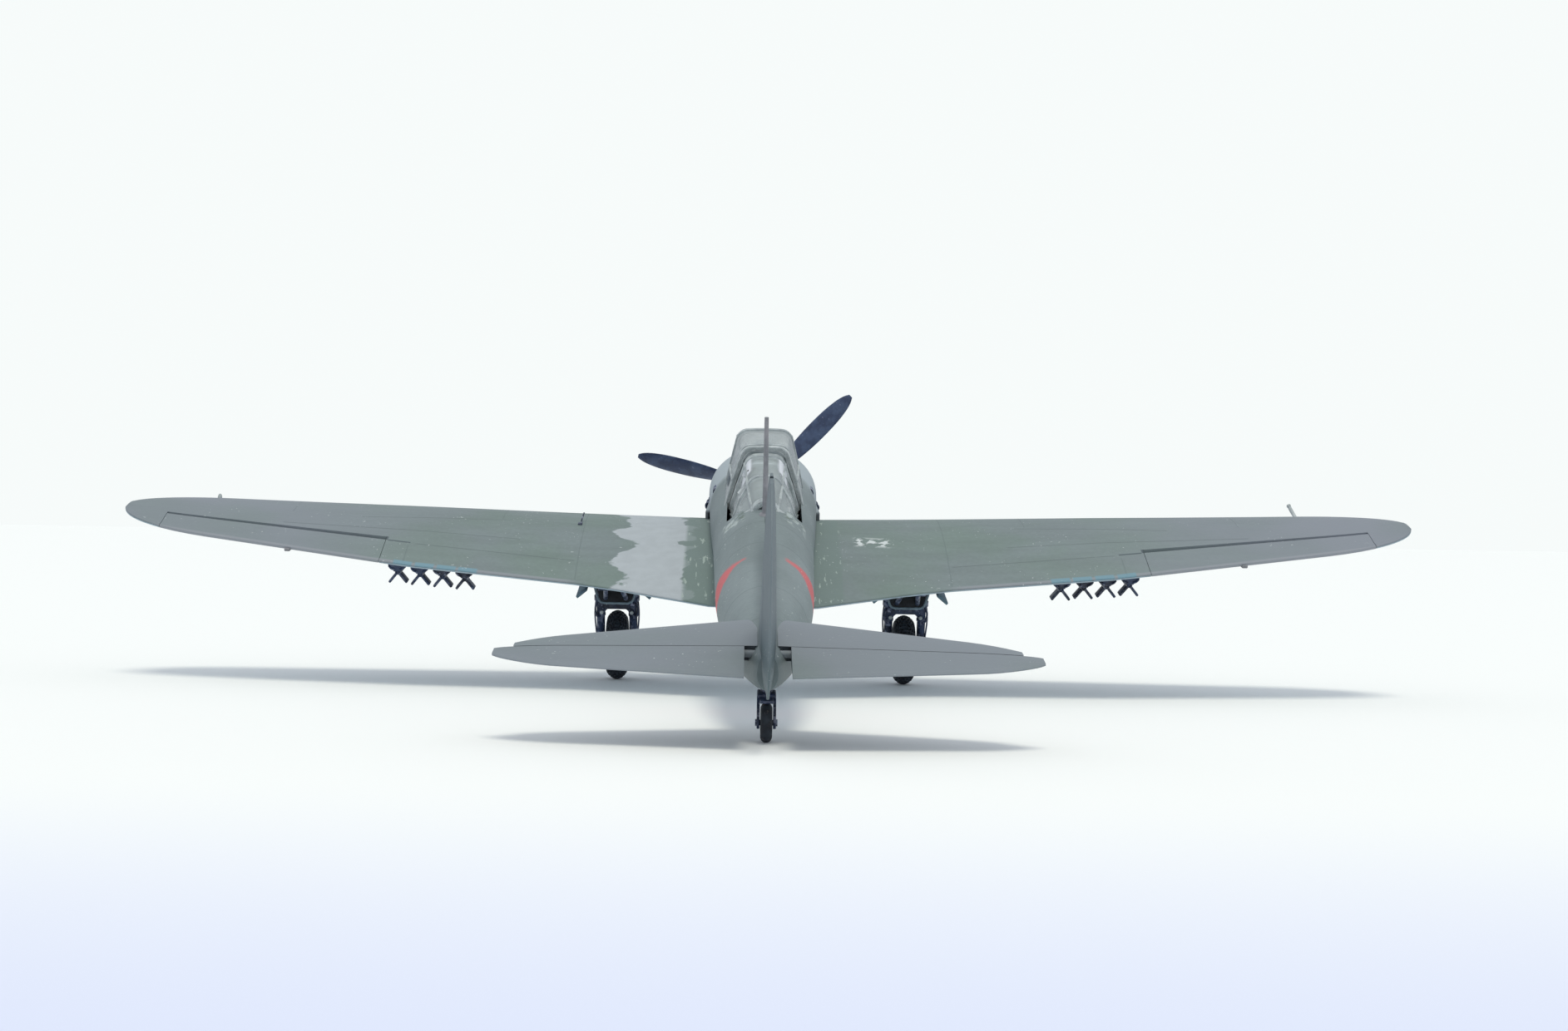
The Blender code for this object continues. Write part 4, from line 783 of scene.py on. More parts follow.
def rail(arches, index, thickness):
    """A frame strip along the glazing through one point of every arch."""
    shapes = []
    for side in (1, -1):
        path = []
        for s in steps(arches[0][0], arches[-1][0], 6):
            point = canopy_arch(arch_at(arches, s))[index]
            path.append(Vector((side * point.x, point.y, point.z)))
        shapes.append(tube(path, thickness, 8))
    return group(*shapes)


def make_canopy():
    for name, arches, body, node in (("windscreen_glass", WINDSCREEN, "airframe", "windscreen"),
                                     ("hood_glass", HOOD_ARCHES, "hood", "canopy_hood"),
                                     ("rear_glass", REAR_ARCHES, "airframe", "rear_glazing")):
        add(name, glazing(arches, 10), body, GLASS, [node], sharp=50)
    hood = [hoop(HOOD_ARCHES, HOOD[0] + 0.35, 0.7), hoop(HOOD_ARCHES, HOOD[1] - 1.6, 0.5)]
    hood.append(rail(HOOD_ARCHES, 1, 0.22))
    add("hood_frames", group(*hood), "hood", FRAME_PAINT)
    add("hood_rear_hoop", hoop(HOOD_ARCHES, HOOD[1] - 0.4, 0.8, 0.14, 0.5), "hood", STRUT_PAINT)
    front = [hoop(WINDSCREEN, 53.5, 0.6), hoop(WINDSCREEN, 47.7, 0.6), rail(WINDSCREEN, 3, 0.24)]
    add("windscreen_frames", group(*front), "airframe", FRAME_PAINT)
    rear = [hoop(REAR_ARCHES, 66.7, 0.9), hoop(REAR_ARCHES, 73.0, 0.5), hoop(REAR_ARCHES, 79.0, 0.8)]
    rear.append(rail(REAR_ARCHES, 2, 0.24))
    add("rear_frames", group(*rear), "airframe", FRAME_PAINT)


def make_cockpit():
    """Floor, seat, armour with its headrest and roughly painted struts, panel and sight."""
    floor = [block((0, 62.5, -0.6), (11.0, 26.0, 0.8), bevel=0.1)]
    for side in (1, -1):
        floor.append(block((side * 4.6, 60.5, 3.2), (1.2, 15.0, 1.0), bevel=0.2))
        floor.append(block((side * 4.9, 57.0, 4.3), (0.6, 4.0, 1.6), bevel=0.2))
        floor.append(rod((side * 4.4, 55.0, 3.6), (side * 4.1, 54.6, 5.6), 0.18, sides=10))
    floor.append(rod((0, 57.5, -0.2), (0, 57.0, 4.2), 0.25, sides=12))
    floor.append(tube(((-0.7, 57.0, 4.2), (-0.5, 57.0, 5.0), (0.5, 57.0, 5.0), (0.7, 57.0, 4.2)), 0.2))
    add("cockpit_tub", group(*floor), "airframe", COCKPIT_PAINT, ["cockpit_floor"])

    seat = [block((0, 64.6, 3.4), (6.0, 0.9, 6.6), (-8, 0, 0), 0.35),
            block((0, 62.0, 0.9), (6.0, 5.4, 1.6), bevel=0.4)]
    seat += [block((side * 3.0, 62.2, 2.0), (0.4, 5.0, 1.8), bevel=0.15) for side in (1, -1)]
    seat += [block((side * 1.0, 64.0, 4.0), (0.6, 0.35, 5.0), (-8, side * 8, 0), 0.12) for side in (1, -1)]
    add("seat", group(*seat), "airframe", COCKPIT_PAINT, ["pilot_seat"])

    outline = [(-4.5, 0.0), (4.5, 0.0), (4.5, 8.6)]
    outline += [(2.6 + 1.9 * math.cos(turn), 8.6 + 5.2 * math.sin(turn)) for turn in steps(0.3, 1.4, 6)]
    outline += [(-x, height) for x, height in reversed(outline[3:])] + [(-4.5, 8.6)]
    armour = [slab(outline, 0.8, (0, 68.6, -0.1), (1, 0, 0), (0, 0, 1), 0.15)]
    armour.append(block((0, 67.6, 12.2), (2.6, 1.2, 2.0), bevel=0.4))
    add("armour_plate", group(*armour), "airframe", COCKPIT_PAINT, ["seat_armour"])

    struts = [tube(((0.1, 69.8, 14.1), (1.2, 70.0, 13.6), (2.6, 70.3, 12.3), (3.8, 70.5, 11.0)), 0.42),
              tube(((-1.0, 69.8, 13.9), (-2.3, 70.1, 12.6), (-3.3, 70.5, 11.0), (-3.9, 70.8, 9.9)), 0.34)]
    for side in (1, -1):
        struts.append(tube(((side * 3.7, 70.6, 10.6), (side * 3.6, 73.5, 9.4), (side * 3.3, 76.5, 9.0)), 0.3))
        struts.append(block((side * 2.7, 77.4, 9.3), (2.0, 1.6, 0.5), (-16, side * 12, 0), 0.15))
    add("armour_struts", group(*struts), "airframe", STRUT_PAINT)
    lump = group(block((1.85, 69.4, 14.2), (1.6, 1.2, 1.2), (20, 15, 30), 0.4),
                 block((2.4, 69.7, 13.4), (1.1, 1.0, 1.1), (-15, 25, 10), 0.35),
                 block((1.2, 69.6, 13.2), (0.9, 0.8, 0.9), (35, 10, 20), 0.3))
    add("armour_mount", lump, "airframe", MOSS)
    # painted shade: near-black discs and a slot where the armour has openings
    armour_shade_discs = [rod((1.4, 68.8, 11.7), (1.4, 69.15, 11.7), 0.5), rod((1.9, 68.8, 9.2), (1.9, 69.15, 9.2), 0.5),
             block((-2.0, 69.0, 10.0), (0.5, 0.3, 3.0), (0, 4, 0), 0.1)]
    add("armour_hole_shades", group(*armour_shade_discs), "airframe", SHADE_BLACK)
    deck = slab([(-5.2, 0.0), (5.2, 0.0), (4.4, 7.4), (-4.4, 7.4)], 0.4, (0, 69.3, 7.6), (1, 0, 0), (0, 1, 0.06), 0.1)
    # painted shade: two near-black discs for holes in the rear deck
    deck_shade_discs = [rod((x, s, 7.9), (x, s, 8.05), radius) for x, s, radius in ((1.5, 74.6, 0.8), (-1.5, 73.6, 0.9))]
    add("rear_deck", deck, "airframe", COCKPIT_PAINT)
    add("deck_hole_shades", group(*deck_shade_discs), "airframe", SHADE_BLACK)

    outline = [(-4.9, 0.0), (4.9, 0.0), (4.9, 3.2), (3.2, 5.4), (-3.2, 5.4), (-4.9, 3.2)]
    panel = [slab(outline, 0.7, (0, 51.2, 3.6), (1, 0, 0), (0, -0.15, 1), 0.12)]
    for x, height in ((-3.2, 5.4), (-1.2, 5.4), (1.2, 5.4), (3.2, 5.4), (-2.2, 7.4), (0.0, 7.6), (2.2, 7.4)):
        panel.append(lathe([(0.75, 0.0), (0.75, 0.3), (0.6, 0.3), (0.55, 0.15), (0.0, 0.15), (0.0, 0.0)],
                           (x, 51.4 - 0.15 * (height - 5), height), (0, 1, 0.1), 20))
    add("dashboard", group(*panel), "airframe", DARK, ["instrument_panel"])
    sight = group(block((0, 52.0, 9.4), (1.2, 1.4, 1.2), bevel=0.2), rod((0, 52.2, 9.9), (0, 52.2, 10.9), 0.4))
    add("gun_sight", sight, "airframe", DARK)


def make_mast():
    spine = read_table(HULL, 82.5)[1]
    foot, tip = Vector((0, 82.5, spine - 0.2)), Vector((0, 80.2, 24.3))
    rings = []
    for share in steps(0.0, 1.0, 12):
        width = blend(0.42, 0.31, share)
        centre = foot.lerp(tip, share)
        turns = [2 * math.pi * i / 20 for i in range(20)]
        rings.append([centre + Vector((width * math.cos(turn), 1.5 * width * math.sin(turn), 0)) for turn in turns])
    collar = lathe([(0.0, 0.0), (0.9, 0.0), (0.75, 0.35), (0.0, 0.35)], (0, 82.4, spine - 0.05), (0, 0, 1), 24)
    add("aerial_mast", group(loft(rings), collar), "airframe", PALE_METAL, ["antenna_mast"])


# ---- wing ----
def wing_station(x):
    """Leading edge, trailing edge and height of the wing at a distance from the centreline."""
    inner, outer = next((a, b) for a, b in zip(WING_PLAN, WING_PLAN[1:]) if x <= b[0] or b is WING_PLAN[-1])
    share = (x - inner[0]) / (outer[0] - inner[0])
    front, rear = blend(inner[1], outer[1], share), blend(inner[2], outer[2], share)
    height = WING_HEIGHT + max(0.0, min(x, WING_PANEL_JOINT) - 8.0) * math.tan(INNER_DIHEDRAL)
    height += max(0.0, x - WING_PANEL_JOINT) * math.tan(OUTER_DIHEDRAL)
    if x > WING_TIP_START:
        share = (x - WING_TIP_START) / (HALF_SPAN - WING_TIP_START)
        round_off = (1.0 - share**TIP_ROUNDNESS) ** (1.0 / TIP_ROUNDNESS)
        height += (rear - front) * (1.0 - round_off) * TIP_LIFT
        centre = blend(front, rear, TIP_CENTRE)
        front, rear = blend(centre, front, round_off), blend(centre, rear, round_off)
    return front, rear, height


def half_thickness(t):
    """Half thickness of a one-unit-thick aerofoil at chord fraction t."""
    return 5 * (0.2969 * math.sqrt(t) - 0.126 * t - 0.3516 * t**2 + 0.2843 * t**3 - 0.1036 * t**4)


def wing_point(x, t, level):
    """A point of the wing: level 1 is the upper surface, 0 the mean line and -1 the lower one."""
    front, rear, height = wing_station(x)
    chord = rear - front
    share = min(1.0, max(0.0, (x - WING_PANEL_JOINT) / (HALF_SPAN - WING_PANEL_JOINT)))
    thickness = blend(*WING_THICKNESS, share) * chord
    mean = WING_CAMBER * 4 * t * (1 - t) * chord
    rise = mean + level * max(half_thickness(t) * thickness, 0.0)
    return Vector((x, front + t * chord * math.cos(WING_INCIDENCE) + rise * math.sin(WING_INCIDENCE),
                   height - t * chord * math.sin(WING_INCIDENCE) + rise * math.cos(WING_INCIDENCE)))


CHORD_STEPS = [(1 - math.cos(math.pi * i / 44)) / 2 for i in range(45)]
WING_STATIONS = [3.5, 8, 11, 14, 17.5, 21, 25, 28.5] + steps(32.5, 84.5, 20)
WING_STATIONS += [WING_TIP_START + (HALF_SPAN - 0.2 - WING_TIP_START) * math.sin(math.pi / 2 * i / 16)
                  for i in range(17)]


def skin_ring(x, level):
    """One skin's section: its outer surface, then back along the glue line."""
    outer = []
    line = [wing_point(x, t, 0) + Vector((0, 0, level * WING_SEAM / 2)) for t in CHORD_STEPS]
    chord = wing_point(x, 1, 0).y - wing_point(x, 0, 0).y
    least = min(EDGE_HALF, chord * 0.08)
    for t, low in zip(CHORD_STEPS, line):
        rounding = min(1.0, math.sqrt(t * 30.0), math.sqrt(max(0.0, (1 - t) * chord / 0.15)) + 0.5)
        edge = low + Vector((0, 0, level * least * rounding))
        face = wing_point(x, t, level)
        outer.append(max(face, edge, key=lambda point: level * point.z) if t > 0 else low)
    return outer + list(reversed(line[1:]))


def hinge_s(x):
    share = (x - AILERON[0]) / (AILERON[1] - AILERON[0])
    return blend(HINGE_AT[0], HINGE_AT[1], share)


def aileron_ring(x):
    """Round nose about the hinge line, then the wing's own surfaces to the trailing edge."""
    front, rear, _ = wing_station(x)
    start = (hinge_s(x) - front) / (rear - front)
    shares = steps(start, 1.0, 8)
    top = [wing_point(x, t, 1) for t in shares]
    under = [wing_point(x, t, -1) for t in shares]
    for upper, lower in zip(top, under):
        lack = max(0.0, 2 * EDGE_HALF - (upper.z - lower.z)) / 2
        upper.z += lack
        lower.z -= lack
    centre = (top[0] + under[0]) / 2
    radius = (top[0].z - under[0].z) / 2
    turns = [math.pi * i / 12 for i in range(1, 12)]
    nose = [centre + Vector((0, -radius * math.sin(turn), radius * math.cos(turn))) for turn in turns]
    return list(reversed(top)) + nose + under, centre, radius


def make_wings():
    """Upper and lower skins with the aileron's bay cut out, and the ailerons."""
    for label, side in SIDES:
        _, near, near_radius = aileron_ring(AILERON[0])
        _, far, far_radius = aileron_ring(AILERON[1])
        ends = ((AILERON[0] - AILERON_END_GAP, near.y - near_radius - HINGE_GAP),
                (AILERON[1] + AILERON_END_GAP, far.y - far_radius - HINGE_GAP))
        for level, part, look, slot in ((1, "upper", UPPER, "upper_paint"), (-1, "lower", UNDER, "under_paint")):
            bay = loft([[(x, front, -12), (x, 76, -12), (x, 76, 14), (x, front, 14)] for x, front in ends])
            skin = carve(loft([skin_ring(x, level) for x in WING_STATIONS]), bay)
            add(f"wing_skin_{part}_{label}", mirrored(skin, side), "airframe", look, [f"wing_{part}_{label}"])
        rings = [aileron_ring(x)[0] for x in steps(AILERON[0], AILERON[1], 14)]
        add(f"aileron_skin_{label}", mirrored(loft(rings), side), f"{label}_aileron", UPPER,
            [f"aileron_{label}"])
        tab_x = 73.5
        rear = wing_station(tab_x)[1]
        tip = wing_point(tab_x, 1.0, -1)
        horn = block((tab_x, rear - 0.3, tip.z - 0.25), (0.9, 1.4, 0.5), bevel=0.15)
        add(f"tab_horn_{label}", mirrored(horn, side), f"{label}_aileron", PALE_METAL)


def make_wing_details():
    """Gear indicator rod, a small lamp and the pressure head."""
    base = wing_point(29.3, 0.42, 1)
    rod_piece = group(rod(base - Vector((0, 0, 0.1)), base + Vector((-0.5, -1.6, 1.5)), 0.12, sides=10),
                      block(base + Vector((0, 0.2, 0.0)), (0.7, 1.2, 0.3), bevel=0.1))
    add("gear_indicator", rod_piece, "airframe", DARK)
    lamp = wing_point(90.0, 0.02, 1)
    bulb = [(0.0, 0.0), (0.36, 0.0), (0.36, 0.4), (0.28, 0.75), (0.12, 0.92), (0.0, 0.95)]
    add("wing_lamp", lathe(bulb, lamp + Vector((0, 0.2, 0.1)), (0, -0.6, 1), 20), "airframe",
        STRUT_PAINT)
    front, _, height = wing_station(87.7)
    points = ((87.7, front + 0.3, height), (87.6, front - 1.2, height + 0.5), (87.3, front - 1.9, height + 1.1),
              (86.9, front - 2.5, height + 1.9))
    head = group(tube(points, 0.3), block((86.85, front - 2.55, height + 2.0), (0.66, 0.66, 0.5), (40, -20, 0), 0.2))
    add("pressure_head", mirrored(head, -1), "airframe", STRUT_PAINT, ["pitot_tube"])


# ---- under the wing ----
POD = ((26.0, 1.2, -4.8, 1.4), (28.5, 2.7, -4.9, 2.7), (33.0, 3.9, -5.0, 3.9), (40.0, 4.3, -5.0, 4.4),
       (48.0, 4.3, -4.8, 4.3), (54.0, 4.1, -4.5, 3.6), (59.0, 2.8, -4.2, 2.6), (63.0, 1.1, -3.9, 1.3))
BAY = (37.5, 56.0)


def make_pods():
    """The fairings that the wheels would fold into, their open bays and splayed doors."""
    for label, side in SIDES:
        rings = []
        for s in steps(POD[0][0], POD[-1][0], 30):
            half_width, middle, reach = read_table(POD, s)
            turns = [2 * math.pi * i / 36 for i in range(36)]
            rings.append([(GEAR_X + half_width * math.cos(turn), s, middle + reach * math.sin(turn))
                          for turn in turns])
        bay = block((GEAR_X, sum(BAY) / 2, -9.0), (7.4, BAY[1] - BAY[0], 9.4), bevel=0.3)
        add(f"pod_{label}", mirrored(carve(loft(rings), bay), side), "airframe", UNDER,
            [f"gear_pod_{label}"])
        # painted shade: a near-black block fills the bay's mouth aft of the legs
        mouth = [(-3.3, 2.9), (3.3, 2.9), (2.5, 0.1), (1.9, -0.15), (-1.9, -0.15), (-2.5, 0.1)]
        box = slab(mouth, 3.4, (GEAR_X, AXLE_AT + 3.4, -11.5), (1, 0, 0), (0, 0, 1), 0.15)
        add(f"bay_shade_box_{label}", mirrored(box, side), "airframe", SHADE_BLACK)
        lips = [tube(((GEAR_X + away * 3.5, AXLE_AT + 5.0, -8.8), (GEAR_X + away * 2.75, AXLE_AT + 5.1, -11.2),
                      (GEAR_X + away * 1.9, AXLE_AT + 5.1, -11.7)), 0.2, 8) for away in (-1, 1)]
        lips.append(rod((GEAR_X - 1.9, AXLE_AT + 5.1, -11.7), (GEAR_X + 1.9, AXLE_AT + 5.1, -11.7), 0.2))
        add(f"bay_lips_{label}", mirrored(group(*lips), side), "airframe", RAIL)
        # painted shade: near-black roof and ribs inside the bay
        lining = block((GEAR_X, sum(BAY) / 2, -4.35), (7.3, BAY[1] - BAY[0] - 0.1, 0.2))
        ribs = [block((GEAR_X, s, -4.6), (7.2, 0.3, 0.5)) for s in steps(BAY[0] + 2, BAY[1] - 2, 5)]
        add(f"bay_shade_lining_{label}", mirrored(group(lining, *ribs), side), "airframe", SHADE_BLACK)
        for part, away in (("outer", 1), ("inner", -1)):
            x = GEAR_X + away * 5.1
            door = [block((x, 46.8, -8.7), (0.45, 15.4, 2.1), (0, away * -50, 0), 0.12)]
            for s in (41.0, 46.8, 52.6):
                door.append(block((x - away * 0.75, s, -8.0), (0.25, 0.6, 1.0), (0, away * -50, 0), 0.08))
            add(f"door_{label}_{part}", mirrored(group(*door), side), "airframe", DOOR,
                [f"gear_door_{label}_{part}"])


def make_gear_legs():
    """Twin legs with collars and bolts, the arched yoke, braces and the folding strut."""
    x = GEAR_X
    for label, side in SIDES:
        shapes = []
        for away in (-1, 1):
            at = x + away * LEG_HALF
            foot, socket = Vector((at, AXLE_AT, AXLE_HEIGHT)), Vector((at, AXLE_AT + 1.5, -11.8))
            shapes.append(rod(foot, socket, LEG_RADIUS, chamfer=0.06))
            shapes.append(rod(socket, (at, AXLE_AT + 3.0, -5.0), 0.9, chamfer=0.1))
            shapes.append(rod(socket.lerp(foot, 0.04), socket + Vector((0, 0.14, 0.6)), 1.05, chamfer=0.12))
            shapes.append(rod(socket.lerp(foot, 0.3), socket.lerp(foot, 0.36), 0.8, chamfer=0.06))
            shapes.append(block(foot, (1.1, 1.9, 1.9), bevel=0.25))
            shapes.append(rod((at + away * 0.5, AXLE_AT, AXLE_HEIGHT), (at + away * 0.85, AXLE_AT, AXLE_HEIGHT), 0.5,
                              sides=6))
            shapes.append(tube(((x + away * 2.5, AXLE_AT + 1.8, -12.3), (x + away * 1.5, AXLE_AT + 2.4, -9.8),
                                (x + away * 0.6, AXLE_AT + 2.8, -6.6)), 0.32))
            shapes.append(rod((x + away * 1.9, AXLE_AT + 1.6, -12.6), (x + away * 1.2, 54.6, -7.6), 0.38))
            shapes.append(tube(((at + away * 0.75, AXLE_AT + 1.0, -12.0), (at + away * 0.95, AXLE_AT + 1.2, -14.5),
                                (at + away * 0.7, AXLE_AT + 0.6, -18.0)), 0.14, 8))
            shapes.append(rod((at, AXLE_AT + 2.2, -12.6), (at, AXLE_AT + 2.75, -12.6), 0.42, sides=6))
            shapes.append(block((at, AXLE_AT + 2.2, -9.4), (2.0, 1.3, 0.5), bevel=0.12))
        shapes.append(rod((x - 3.0, AXLE_AT + 2.9, -6.4), (x + 3.0, AXLE_AT + 2.9, -6.4), 0.6, chamfer=0.08))
        shapes.append(rod((x - 2.4, 54.6, -7.6), (x + 2.4, 54.6, -7.6), 0.5, chamfer=0.08))
        arch = [(-3.3, -1.1), (-3.3, 0.5), (-2.9, 0.95), (-2.3, 1.15)]
        arch += [(-across, height) for across, height in reversed(arch)]
        arch += [(1.95, -1.1), (1.85, -0.65), (1.55, -0.4), (-1.55, -0.4), (-1.85, -0.65), (-1.95, -1.1)]
        shapes.append(slab(arch, 1.4, (x, AXLE_AT + 1.3, -12.9), (1, 0, 0), (0, 0.1, 1), 0.12))
        shapes.append(block((x, AXLE_AT + 2.0, -12.2), (1.6, 0.5, 0.5), bevel=0.12))
        for away in (-1, 1):
            shapes.append(tube(((x + away * 2.2, AXLE_AT + 2.3, -11.6), (x + away * 3.0, AXLE_AT + 2.3, -12.0),
                                (x + away * 3.5, AXLE_AT + 2.1, -13.2), (x + away * 3.3, AXLE_AT + 1.9, -14.6),
                                (x + away * 2.7, AXLE_AT + 1.9, -14.9)), 0.17, 8))
        add(f"gear_frame_{label}", mirrored(group(*shapes), side), "airframe", DARK,
            [f"gear_legs_{label}"])
        bolts = []
        for reach, height in ((1.7, -12.35), (2.45, -14.0)):
            for away in (-1, 1):
                spot = Vector((x + away * reach, AXLE_AT + 1.9, height))
                bolts.append(rod(spot, spot + Vector((0, 0.5, 0)), 0.3, chamfer=0.06))
        bolts.append(rod((x, AXLE_AT + 1.9, -12.15), (x, AXLE_AT + 2.35, -12.15), 0.22, chamfer=0.04))
        add(f"gear_bolts_{label}", mirrored(group(*bolts), side), "airframe", STRUT_PAINT)


def tread(i, row, radius):
    """Blocks round the tyre: alternate rows are cut at alternate places."""
    if radius < 4.78:
        return radius
    groove = (i + 3 * (row % 2)) % 6 in (0, 1)
    return radius - (0.22 if groove else 0.0)


def make_wheels():
    for label, side in SIDES:
        centre = (side * GEAR_X, AXLE_AT, AXLE_HEIGHT)
        half = TYRE_HALF
        outer = [(3.3, 0.5), (3.45, 0.75), (3.7, 0.93), (4.05, 1.0), (4.5, 0.95), (4.75, 0.88), (4.8, 0.83),
                 (5.05, 0.76), (5.2, 0.62), (5.4, 0.54), (5.5, 0.4), (5.6, 0.3), (WHEEL_RADIUS, 0.1)]
        profile = [(radius, half * along) for radius, along in outer]
        profile += [(radius, -along) for radius, along in reversed(profile)]
        body = f"{label}_wheel"
        add(f"tyre_tread_{label}", lathe(profile, centre, (1, 0, 0), 144, tread), body, TYRE,
            [f"tyre_{label}"], sharp=30)
        rim = [(3.25, 1.0), (3.0, 1.12), (2.75, 1.0), (2.6, 0.65), (2.3, 0.5), (1.3, 0.5), (1.15, 1.4), (0.95, 1.5),
               (0.6, 1.5)]
        hub = lathe(rim + [(radius, -along) for radius, along in reversed(rim)], centre, (1, 0, 0), 64)
        bolts = []
        for i in range(8):
            turn = 2 * math.pi * i / 8
            spot = Vector(centre) + Vector((0, 1.85 * math.cos(turn), 1.85 * math.sin(turn)))
            bolts.append(rod(spot - Vector((0.72, 0, 0)), spot + Vector((0.72, 0, 0)), 0.22, sides=6))
        add(f"hub_{label}", group(hub, *bolts), body, COCKPIT_PAINT, [f"wheel_hub_{label}"])


def make_stores():
    """Rocket pallets, dark launchers and the eight finned rockets; and the cannon barrels."""
    lean = -math.degrees(OUTER_DIHEDRAL)
    for label, side in SIDES:
        pallets, launchers = [], []
        for x in ROCKETS_AT:
            top = wing_point(x, 0.4, -1).z
            axis = top - ROCKET_DROP
            pallets.append(block((x, 47.4, top - 0.9), (2.9, 8.6, 3.0), (0, lean, 0), 0.2))
            pallets.append(block((x, 47.4, top - 2.9), (1.4, 9.0, 1.4), bevel=0.15))
            outline = [(-1.5, 1.3), (1.5, 1.3), (1.45, 0.95), (0.75, 0.45), (0.55, 0.0), (-0.55, 0.0), (-0.75, 0.45),
                       (-1.45, 0.95)]
            launchers.append(slab(outline, 1.6, (x, 51.6, axis + 0.2), (1, 0, -0.06), (0, 0, 1), 0.12))
            launchers.append(slab(outline, 1.4, (x, 44.2, axis + 0.2), (1, 0, -0.06), (0, 0, 1), 0.12))
            launchers.append(block((x, 47.4, axis + 1.0), (0.7, 9.4, 0.9), bevel=0.1))
            for away in (-1, 1):
                launchers.append(tube(((x + away * 1.35, 52.3, axis + 1.1), (x + away * 1.0, 52.5, axis + 0.75),
                                       (x + away * 0.45, 52.5, axis + 0.5)), 0.17, 8))
        add(f"launch_pallets_{label}", mirrored(group(*pallets), side), "airframe", RAIL,
            [f"rocket_rails_{label}"])
        add(f"launchers_{label}", mirrored(group(*launchers), side), "airframe", DARK)
        for number, x in enumerate(ROCKETS_AT, 1):
            height = wing_point(x, 0.4, -1).z - ROCKET_DROP
            profile = [(0.0, 8.3), (0.12, 8.2), (0.22, 7.9), (0.4, 7.2), (0.52, 6.6), (ROCKET_RADIUS, 6.1),
                       (ROCKET_RADIUS, 5.2), (0.52, 5.1), (0.52, 4.9), (ROCKET_RADIUS, 4.8), (ROCKET_RADIUS, 1.5),
                       (0.5, 0.5), (0.44, 0.0), (0.32, 0.0), (0.28, 0.5), (0.0, 0.5)]
            tail = Vector((x, ROCKET_TAIL, height))
            parts = [lathe(profile, tail, (0, -1, 0), 28)]
            for turn in (51, 129):
                parts.append(block(tail - Vector((0, 1.1, 0)), (ROCKET_FINS + 0.4, 2.0, 0.42), (0, turn, 0), 0.17))
            add(f"rocket_{label}_{number}_body", mirrored(group(*parts), side), "airframe", DARK,
                [f"rocket_{label}_{number}"])
        front, _, height = wing_station(34.5)
        barrel = [(0.0, 7.0), (0.0, 7.0), (0.2, 7.0), (0.22, 6.3), (0.3, 6.3), (0.38, 7.0), (0.4, 6.9), (0.38, 6.2),
                  (0.3, 6.1), (0.28, 2.9), (0.42, 2.6), (0.58, 2.3), (0.62, 0.0), (0.0, -0.6)]
        add(f"cannon_barrel_{label}", lathe(barrel, (side * 34.5, front - 0.1, height - 1.0), (0, -1, 0), 28),
            "airframe", METAL, [f"cannon_{label}"])


# ---- tail ----
def tailplane_station(x):
    """Leading and trailing edge of the tailplane at a distance from the centreline."""
    share = (x - 4.0) / 24.0
    front, rear = blend(130.4, 139.6, share), blend(154.6, 150.6, share)
    if x > TAIL_TIP_START:
        round_off = math.sqrt(1.0 - ((x - TAIL_TIP_START) / (TAILPLANE_HALF_SPAN - TAIL_TIP_START)) ** 2)
        centre = blend(front, rear, 0.52)
        front, rear = blend(centre, front, round_off), blend(centre, rear, round_off)
    return front, rear


def tail_section(front, rear, start, stop, thickness, round_nose):
    """A symmetrical section as (s, offset) points; a fixed one ends in a hollow round the hinge."""
    chord = rear - front
    count = 16
    points = []
    for i in range(count + 1):
        share = i / count
        s = blend(start, stop, share ** 1.6 if start == front else share)
        t = min(max((s - front) / chord, 0.0), 1.0)
        rounding = 1.0 if not round_nose else min(1.0, 0.45 + math.sqrt(max(0.0, (stop - s) / 0.4)))
        edge = 0.16 * min(1.0, math.sqrt(t * 12)) * rounding
        points.append((s, max(half_thickness(t) * thickness * chord, edge)))
    ring = list(reversed(points[1:]))
    if round_nose:
        s, half = points[0]
        ring += [(s - half * math.sin(turn), half * math.cos(turn)) for turn in steps(0.0, math.pi, 12)]
        return ring + [(s, -half) for s, half in points[1:]]
    ring.append((points[0][0], 0.0))
    s, half = points[-1]
    hinge = s + 0.2 * half
    hollow = [(hinge - (half + 0.16) * math.sin(turn), -(half + 0.02) * math.cos(turn))
              for turn in steps(0.35, math.pi - 0.35, 10)]
    return ring + [(s, -half) for s, half in points[1:]] + hollow


def make_tailplane():
    thickness = 0.09
    elevator = []
    for label, side in SIDES:
        rings = []
        for x in [1.2] + steps(2.0, 24.0, 11) + [25.5, 27.0, 28.2, 29.2, 29.9]:
            front, rear = tailplane_station(x)
            section = tail_section(front, rear, front, ELEVATOR_HINGE - 0.2, thickness, False)
            rings.append([Vector((x, s, TAILPLANE_HEIGHT + offset)) for s, offset in section])
        add(f"stabiliser_skin_{label}", mirrored(loft(rings), side), "airframe", UPPER,
            [f"stabiliser_{label}"])
        rings = []
        for x in [2.75] + steps(4.0, 25.0, 11) + [26.5, 28.0, 29.2, 30.2, 31.0, 31.6, 32.1]:
            front, rear = tailplane_station(x)
            start = max(ELEVATOR_HINGE, front + 0.25)
            section = tail_section(front, rear, start, rear, thickness, True)
            rings.append([Vector((x, s, TAILPLANE_HEIGHT + offset)) for s, offset in section])
        elevator.append(mirrored(loft(rings), side))
    hinge = (ELEVATOR_HINGE, TAILPLANE_HEIGHT)
    elevator.append(rod((-4.2, *hinge), (4.2, *hinge), 0.45))
    add("elevator_skin", group(*elevator), "elevators", UPPER, ["elevator"])


